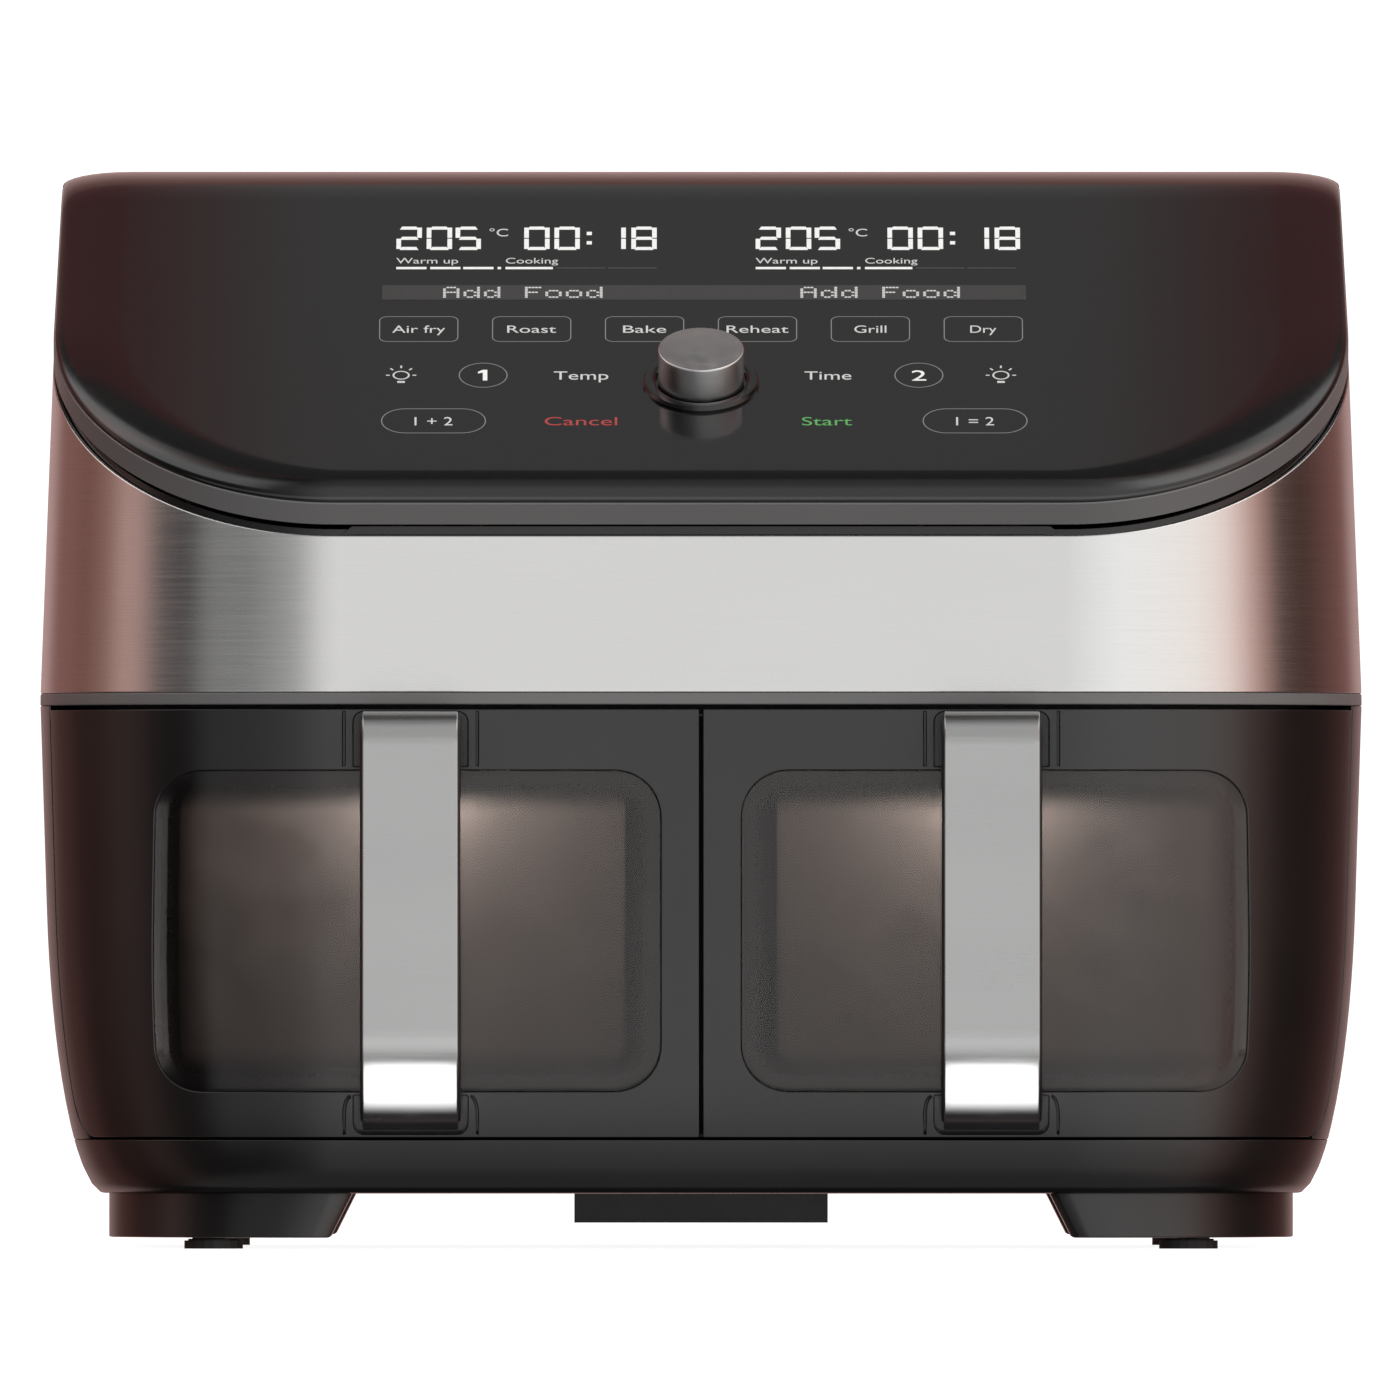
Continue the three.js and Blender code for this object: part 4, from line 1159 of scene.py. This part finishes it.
def words(light, text, x, v, width, height):
    """A word set in the built-in typeface and stretched to a width and a letter height."""
    curve = bpy.data.curves.new("word", "FONT")
    curve.body = text
    made = bpy.data.objects.new("word", curve)
    flat = bpy.data.meshes.new_from_object(made)
    points = np.array([tuple(p.co) for p in flat.vertices])[:, :2]
    low, high = points.min(axis=0), points.max(axis=0)
    capital = 0.73
    scale_x, scale_v = width / (high[0] - low[0]), height / capital
    mark(light, [(x + (px - (low[0] + high[0]) / 2) * scale_x, v + (pv - capital / 2) * scale_v)
                 for px, pv in points], [tuple(face.vertices) for face in flat.polygons])
    bpy.data.objects.remove(made)
    bpy.data.meshes.remove(flat)


# %% Seven-segment digits
DIGIT = (7.4, 13.5)
STROKE = (1.35, 1.75)
LIT_SEGMENTS = {"0": "abcdef", "1": "bc", "2": "abged", "5": "afgcd", "8": "abcdefg"}


def digit(light, figure, x, v):
    """A seven-segment digit from its lower left corner."""
    width, height = DIGIT
    side, bar = STROKE
    gap = 0.28
    half = (height - bar) / 2
    places = {"a": (side + gap, height - bar, width - 2 * side - 2 * gap, bar),
              "g": (side + gap, half, width - 2 * side - 2 * gap, bar),
              "d": (side + gap, 0, width - 2 * side - 2 * gap, bar),
              "f": (0, half + bar / 2 + gap, side, half), "e": (0, bar / 2 - gap, side, half),
              "b": (width - side, half + bar / 2 + gap, side, half),
              "c": (width - side, bar / 2 - gap, side, half)}
    for segment in LIT_SEGMENTS[figure]:
        left, low, wide, high = places[segment]
        slant = 0.5 * side
        if segment in "adg":
            mark(light, [(x + left - slant, v + low), (x + left + wide + slant, v + low),
                         (x + left + wide, v + low + high), (x + left, v + low + high)])
        else:
            block_mark(light, x + left, v + low, wide, high)


DISPLAY_V = 76.7
for start, step in ((-88.7, 0), (15.9, 1.2)):
    for figure, offset in zip("205", (0, 8.8, 17.2)):
        digit(white_light, figure, start + offset, DISPLAY_V)
    for figure, offset in zip("00", (37.2, 46.0)):
        digit(white_light, figure, start + offset + step, DISPLAY_V)
    digit(white_light, "1", start + 59.4 + step, DISPLAY_V)
    digit(white_light, "8", start + 68.4 + step, DISPLAY_V)
    for height in (3.2, 8.6):
        block_mark(white_light, start + 55.4 + step, DISPLAY_V + height, 1.5, 1.9)
    words(soft_light, "°C", start + 29.8, DISPLAY_V + 10.2, 5.4, 4.6)
    words(soft_light, "Warm up", start + 9.0, 70.6, 18.0, 3.4)
    words(soft_light, "Cooking", start + 39.5, 70.6, 15.2, 3.4)
    for offset in (0, 9.9, 19.5):
        block_mark(white_light, start + offset, 65.6, 8.8, 1.3)
    block_mark(white_light, start + 29.5, 65.6, 1.0, 1.3)
    block_mark(white_light, start + 31.8, 65.6, 13.8, 1.3)
    # Unlit bar segments of the display window, a painted glow.
    for offset in (46.6, 61.6):
        block_mark(display_window_painted_glow, start + offset, 65.7, 14.2, 1.0)

# %% Message strip with dot letters
GLYPHS = {"A": "01110 10001 10001 11111 10001 10001 10001",
          "d": "00001 00001 01101 10011 10001 10011 01101",
          "F": "11111 10000 10000 11110 10000 10000 10000",
          "o": "00000 00000 01110 10001 10001 10001 01110",
          " ": ""}
# The message strip behind the dot letters: the unlit display window, a painted glow.
block_mark(display_window_painted_glow, -92.7, 48.0, 187.2, 8.4)
DOT = (0.98, 0.92)
LETTER_STEP = 5.95
for start in (-75, 28.9):
    for place, letter in enumerate("Add Food"):
        for row, dots in enumerate(GLYPHS[letter].split()):
            for column, dot in enumerate(dots):
                if dot == "1":
                    block_mark(soft_light, start + place * LETTER_STEP + column * DOT[0],
                               54.6 - row * DOT[1], DOT[0] * 0.82, DOT[1] * 0.8, LETTER_LIFT)
print(f"dots and digits: {sum(len(polygons) for _, polygons in sheets.values())} marks")

# %% Touch keys
KEY_X = (-82, -49.2, -16.4, 16.4, 49.2, 82)
KEYS = (("Air fry", 15.4), ("Roast", 14.2), ("Bake", 12.5), ("Reheat", 18), ("Grill", 9.3), ("Dry", 7.6))
KEY_V = (23.8, 38.4)
KEY_HALF = 11.5
LINE_WIDTH = 0.3
MIDDLE_V = 4.6                  # the row of the knob
LOW_V = -21.6
SELECT_X = 63.2
for x, (text, width) in zip(KEY_X, KEYS):
    outline_mark(grey_print_painted_glow, box_outline((x - KEY_HALF, x + KEY_HALF), KEY_V, 2.4, steps=5), 0.28)
    words(soft_light, text, x, 31.2, width, 4.4)
print(f"{len(KEYS)} program keys")

# %% Drawer keys and lamp keys
stem = -SELECT_X - 0.1
block_mark(white_light, stem, 1.6, 1.3, 6.1)
mark(white_light, [(stem - 1.4, 6.6), (stem - 1.4, 5.6), (stem, 6.2), (stem, 7.7)])
words(white_light, "2", SELECT_X, MIDDLE_V, 4.2, 6.2)
for sign in SIDES.values():
    outline_mark(grey_print_painted_glow, circle(sign * SELECT_X, MIDDLE_V, 7.1, steps=40), LINE_WIDTH)
    bulb = (sign * 87, MIDDLE_V)
    outline_mark(soft_light, circle(*bulb, 2.5, steps=24), 0.5)
    block_mark(soft_light, bulb[0] - 1.1, bulb[1] - 4.4, 2.2, 1.1)
    for ray in range(5):
        angle = math.radians(ray * 45)
        ends = [(bulb[0] + reach * math.cos(angle), bulb[1] + reach * 1.25 * math.sin(angle))
                for reach in (3.3, 4.4)]
        wide, high = 0.27 * math.sin(angle), 0.27 * math.cos(angle)
        mark(soft_light, [(ends[0][0] + wide, ends[0][1] - high), (ends[1][0] + wide, ends[1][1] - high),
                          (ends[1][0] - wide, ends[1][1] + high), (ends[0][0] - wide, ends[0][1] + high)])

# %% Words, and the keys for both drawers
for light, text, x, v, width in ((soft_light, "Temp", -34.8, MIDDLE_V, 15.8),
                                 (soft_light, "Time", 36.8, MIDDLE_V, 13.6),
                                 (red_light, "Cancel", -34.8, LOW_V, 21),
                                 (green_light, "Start", 36.5, LOW_V, 14.5),
                                 (soft_light, "1 + 2", -77.5, LOW_V, 11),
                                 (soft_light, "1 = 2", 79.4, LOW_V, 11)):
    words(light, text, x, v, width, 5)
for x in (-77.5, 79.4):
    outline_mark(grey_print_painted_glow, box_outline((x - 15.2, x + 15.2), (-28.6, -14.5), 7, steps=10), LINE_WIDTH)
for light_name, (points, polygons) in sheets.items():
    show_faces(light_name, points, polygons, bpy.data.materials[light_name], "root", "gloss_panel")
print("marks:", {name: len(polygons) for name, (_, polygons) in sheets.items()})

# %% [markdown]
# ## Finishes of the parts inside
#
# The parts that show only through the windows or with a drawer pulled out keep their CAD shapes,
# and get finishes here: sheet steel for the chambers, coating for the tub and the tray, rubber for
# feet and seals.

# %% Finishes for the CAD nodes that stay
KEPT = ((sheet_steel, "chamber air_cowl heating_element element_guard motor hot_fan fan_shaft",
         "front_frame knob_shaft"),
        # Parts inside and under the body get a darker black as painted shade.
        (black_with_painted_shade, "drawer_switch cooling_fan", "rear_spacer cord_gland display_module encoder"),
        (board, "", "display_board main_board"),
        (non_stick, "basket crisper_tray", ""),
        (rubber, "window_seal rubber_foot_front rubber_foot_rear", ""),
        (inner_glass, "inner_glass", ""),
        (lamp_glass, "chamber_lamp", ""))
dressed = 0
for material, paired, single in KEPT:
    for name in [f"{word}_{side}" for word in paired.split() for side in SIDES] + single.split():
        slots = frame["nodes"][name].data.materials
        for index in range(len(slots)):
            slots[index] = material
        dressed += 1
print(f"{dressed} CAD nodes have got a finish")

# %% [markdown]
# ## Stage, light and camera
#
# The product stands on a white floor in a white room, lit by one large softbox in front and to the
# right, and a warmer wall behind. What shapes the metal and the gloss is what they reflect, so
# the room's light is written as a ring of colours around the horizon, brighter or darker with
# height. The camera is far off with a long lens, just above the middle of the product.

# %% Room light
RING = [(-180, "#a87c76"), (-140, "#8a615b"), (-118, "#8f625c"), (-104, "#a57c72"), (-93, "#dcb3aa"),
        (-85, "#d0aaa2"), (-74, "#6a6362"), (-60, "#434141"), (-34, "#4a4949"), (-16, "#8e8d8d"),
        (-3, "#e6e5e4"), (20, "#ffffff"), (52, "#fff7f2"), (73, "#f6d6ce"), (84, "#bf958c"),
        (94, "#5c4a45"), (108, "#4c3732"), (140, "#7f5752"), (180, "#a87c76")]
world = bpy.data.worlds.new("studio")
bpy.context.scene.world = world
world.use_nodes = True
tree = world.node_tree
direction = add(tree, "SeparateXYZ", {0: add(tree, "TexCoord").outputs["Generated"]})
forward = calc(tree, "MULTIPLY", direction.outputs["Y"], -1.0)
bearing = calc(tree, "ARCTAN2", direction.outputs["X"], forward)
turn = add(tree, "MapRange", {"Value": bearing, "From Min": -math.pi, "From Max": math.pi})
HEIGHTS = [(-90, 0.4), (-55, 0.5), (-28, 0.85), (-12, 1.0), (55, 0.95), (75, 0.45), (90, 0.4)]


def ramp(tree, factor, stops):
    """A run of colours from stops (place, colour), given in order."""
    made = add(tree, "ValToRGB", {"Fac": factor})
    elements = made.color_ramp.elements
    for index, (place, value) in enumerate(stops):
        stop = elements[index] if index < 2 else elements.new(place)
        stop.position = place
        stop.color = value
    return made.outputs["Color"]


ring = ramp(tree, turn.outputs[0], [((angle + 180) / 360, colour(code)) for angle, code in RING])
climb = calc(tree, "ARCSINE", direction.outputs["Z"])
height = add(tree, "MapRange", {"Value": climb, "From Min": -math.pi / 2, "From Max": math.pi / 2})
rise = ramp(tree, height.outputs[0], [((angle + 90) / 180, (level, level, level, 1))
                                      for angle, level in HEIGHTS])
room = mix(tree, 1.0, ring, rise, "MULTIPLY")


def patch(tree, base, bearings, climbs, soft, level, blend="ADD"):
    """Lays a soft-edged patch over a colour, between two bearings and two heights in degrees."""
    share = None
    for source, (low, high) in ((bearing, bearings), (climb, climbs)):
        for edge, way in ((low, 1), (high, -1)):
            step = add(tree, "MapRange", {"Value": source, "From Min": math.radians(edge - way * soft),
                                          "From Max": math.radians(edge + way * soft)},
                       interpolation_type="SMOOTHSTEP").outputs[0]
            share = calc(tree, "MULTIPLY", share, step) if share else step
    return mix(tree, share, base, (level, level, level, 1), blend)


# A low strip light in front gives the drawers their even sheen, with a clear left-hand edge.
room = patch(tree, room, (-56, 70), (-27, 1), 6, 0.52)
# The wall to the left is darker low down, where the drawers mirror it.
room = patch(tree, room, (-125, -62), (-50, 1), 6, 0.5, "MULTIPLY")
# Pale edges of the room behind catch the grazing reflections on the top and the outer sides.
for bearings in ((150, 220), (-220, -150)):
    room = patch(tree, room, bearings, (-60, 32), 8, 0.13)
# Straight down, and high up behind, the room is plain and dim. The handles' bends mirror both.
room = patch(tree, room, (-125, 125), (-200, -50), 6, 0.27, "MIX")
for bearings in ((115, 260), (-260, -115)):
    room = patch(tree, room, bearings, (46, 200), 6, 0.1, "MIX")
    room = patch(tree, room, bearings, (-200, -38), 6, 0.03, "MIX")
# Two high cards to the left and right draw the bright line along the steel band's upper edge.
for bearings in ((-125, -25), (25, 125)):
    room = patch(tree, room, bearings, (38, 75), 8, 1.2)
seen = add(tree, "LightPath").outputs["Is Camera Ray"]
background = tree.nodes["Background"]
tree.links.new(mix(tree, seen, room, (1, 1, 1, 1)), background.inputs["Color"])
background.inputs["Strength"].default_value = 1.15
print(f"room light: {len(RING)} bearings, {len(HEIGHTS)} heights")

# %% [markdown]
# ### Cards
#
# Flat gloss black needs something of its own to reflect. A wide card hangs above and behind the
# product, where the sloping panel mirrors it towards the camera: neutral in the middle and warm at
# both ends. Cards don't show to the camera and cast no shadow.

# %% Overhead card
def four_cornered(name, corners, material):
    """A flat sheet from its corners in metres."""
    mesh = bpy.data.meshes.new(name)
    mesh.from_pydata(corners, [], [(0, 1, 2, 3)])
    mesh.materials.append(material)
    return in_scene(name, mesh)


def card(name, corners, strength, ends):
    """A glowing card from its corners in metres. Along one axis it fades from its middle outwards."""
    made, tree, shader = finish(name, Roughness=1.0, Emission_Strength=strength)
    shader.inputs["Base Color"].default_value = (0, 0, 0, 1)
    axis, middle, near, far, inner, outer = ends
    across = add(tree, "SeparateXYZ", {0: own_place(tree)}).outputs[axis]
    out = calc(tree, "ABSOLUTE", calc(tree, "SUBTRACT", across, middle))
    share = add(tree, "MapRange", {"Value": out, "From Min": near, "From Max": far},
                interpolation_type="SMOOTHSTEP")
    linked(tree, shader, Emission_Color=tone(tree, share.outputs[0], inner, outer))
    sheet = four_cornered(name, corners, made)
    sheet.visible_camera = False
    sheet.visible_shadow = False
    sheet.visible_diffuse = False


CARD_DISTANCE = 0.8
panel_middle = Vector((0, -0.1, 0.262))
mirrored_sight = Vector((0, math.cos(2 * PANEL_TILT), math.sin(2 * PANEL_TILT)))
card_middle = panel_middle + mirrored_sight * CARD_DISTANCE
card_up = mirrored_sight.cross(Vector((1, 0, 0)))
card("overhead_card", [card_middle + Vector((x, 0, 0)) + card_up * y
                       for x, y in ((-0.5, -0.09), (0.5, -0.09), (0.5, 0.3), (-0.5, 0.3))],
     1.0, ("X", 0, 0.11, 0.19, "#979797", "#8f5a5c"))
print(f"overhead card: {CARD_DISTANCE} m from the panel")

# %% Handle cards, which the handles' lower bends mirror
CARD_Z = 30
for side, sign in SIDES.items():
    corners = [(sign * HANDLE_X + x, y, CARD_Z)
               for x, y in ((-14, -230), (14, -230), (14, -180), (-14, -180))]
    card(f"handle_card_{side}", [Vector(corner) * MM for corner in corners], 4.4,
         ("Y", -0.205, 0.012, 0.026, "#ffffff", "#000000"))
    print(f"handle card, {side}")

# %% Floor
floor_material, tree, shader = finish("white_studio_floor", Roughness=0.9, Emission_Color=(1, 1, 1, 1),
                                      Emission_Strength=0.92)
linked(tree, shader, Base_Color=tone(tree, noise(tree, 400), "#bcbcbc", "#c0c0c0"))
FLOOR_REACH = 9.0
floor = four_cornered("floor", [(x * FLOOR_REACH, y * FLOOR_REACH, 0)
                                for x, y in ((-1, -1), (1, -1), (1, 1), (-1, 1))], floor_material)
floor.visible_glossy = False
floor.visible_diffuse = False
print(f"floor: {2 * FLOOR_REACH:.0f} m across")

# %% Lamps in the two chambers
for side, sign in SIDES.items():
    for place, energy, spot in (("front", 0.2, (0.06, -0.06, 0.14)), ("rear", 1.1, (0.084, 0.06, 0.142))):
        name = f"chamber_light_{place}_{side}"
        light = bpy.data.lights.new(name, "POINT")
        light.energy = energy
        light.color = (1.0, 0.9, 0.82)
        light.shadow_soft_size = 0.012
        in_scene(name, light).location = (sign * spot[0], *spot[1:])
        print(f"{name}: {energy} W")

# %% Camera
camera = in_scene("camera", bpy.data.cameras.new("camera"))
camera.data.lens = 1503
camera.data.sensor_width = 36
camera.data.clip_end = 60
camera.location = (0, -17.07, 0.0703)
aim = Vector((-0.0003, -0.17, 0.1588)) - camera.location
camera.rotation_euler = aim.to_track_quat("-Z", "Y").to_euler()
bpy.context.scene.camera = camera
bpy.context.scene.view_settings.view_transform = "Standard"
print(f"camera: {-camera.location.y:.1f} m in front")
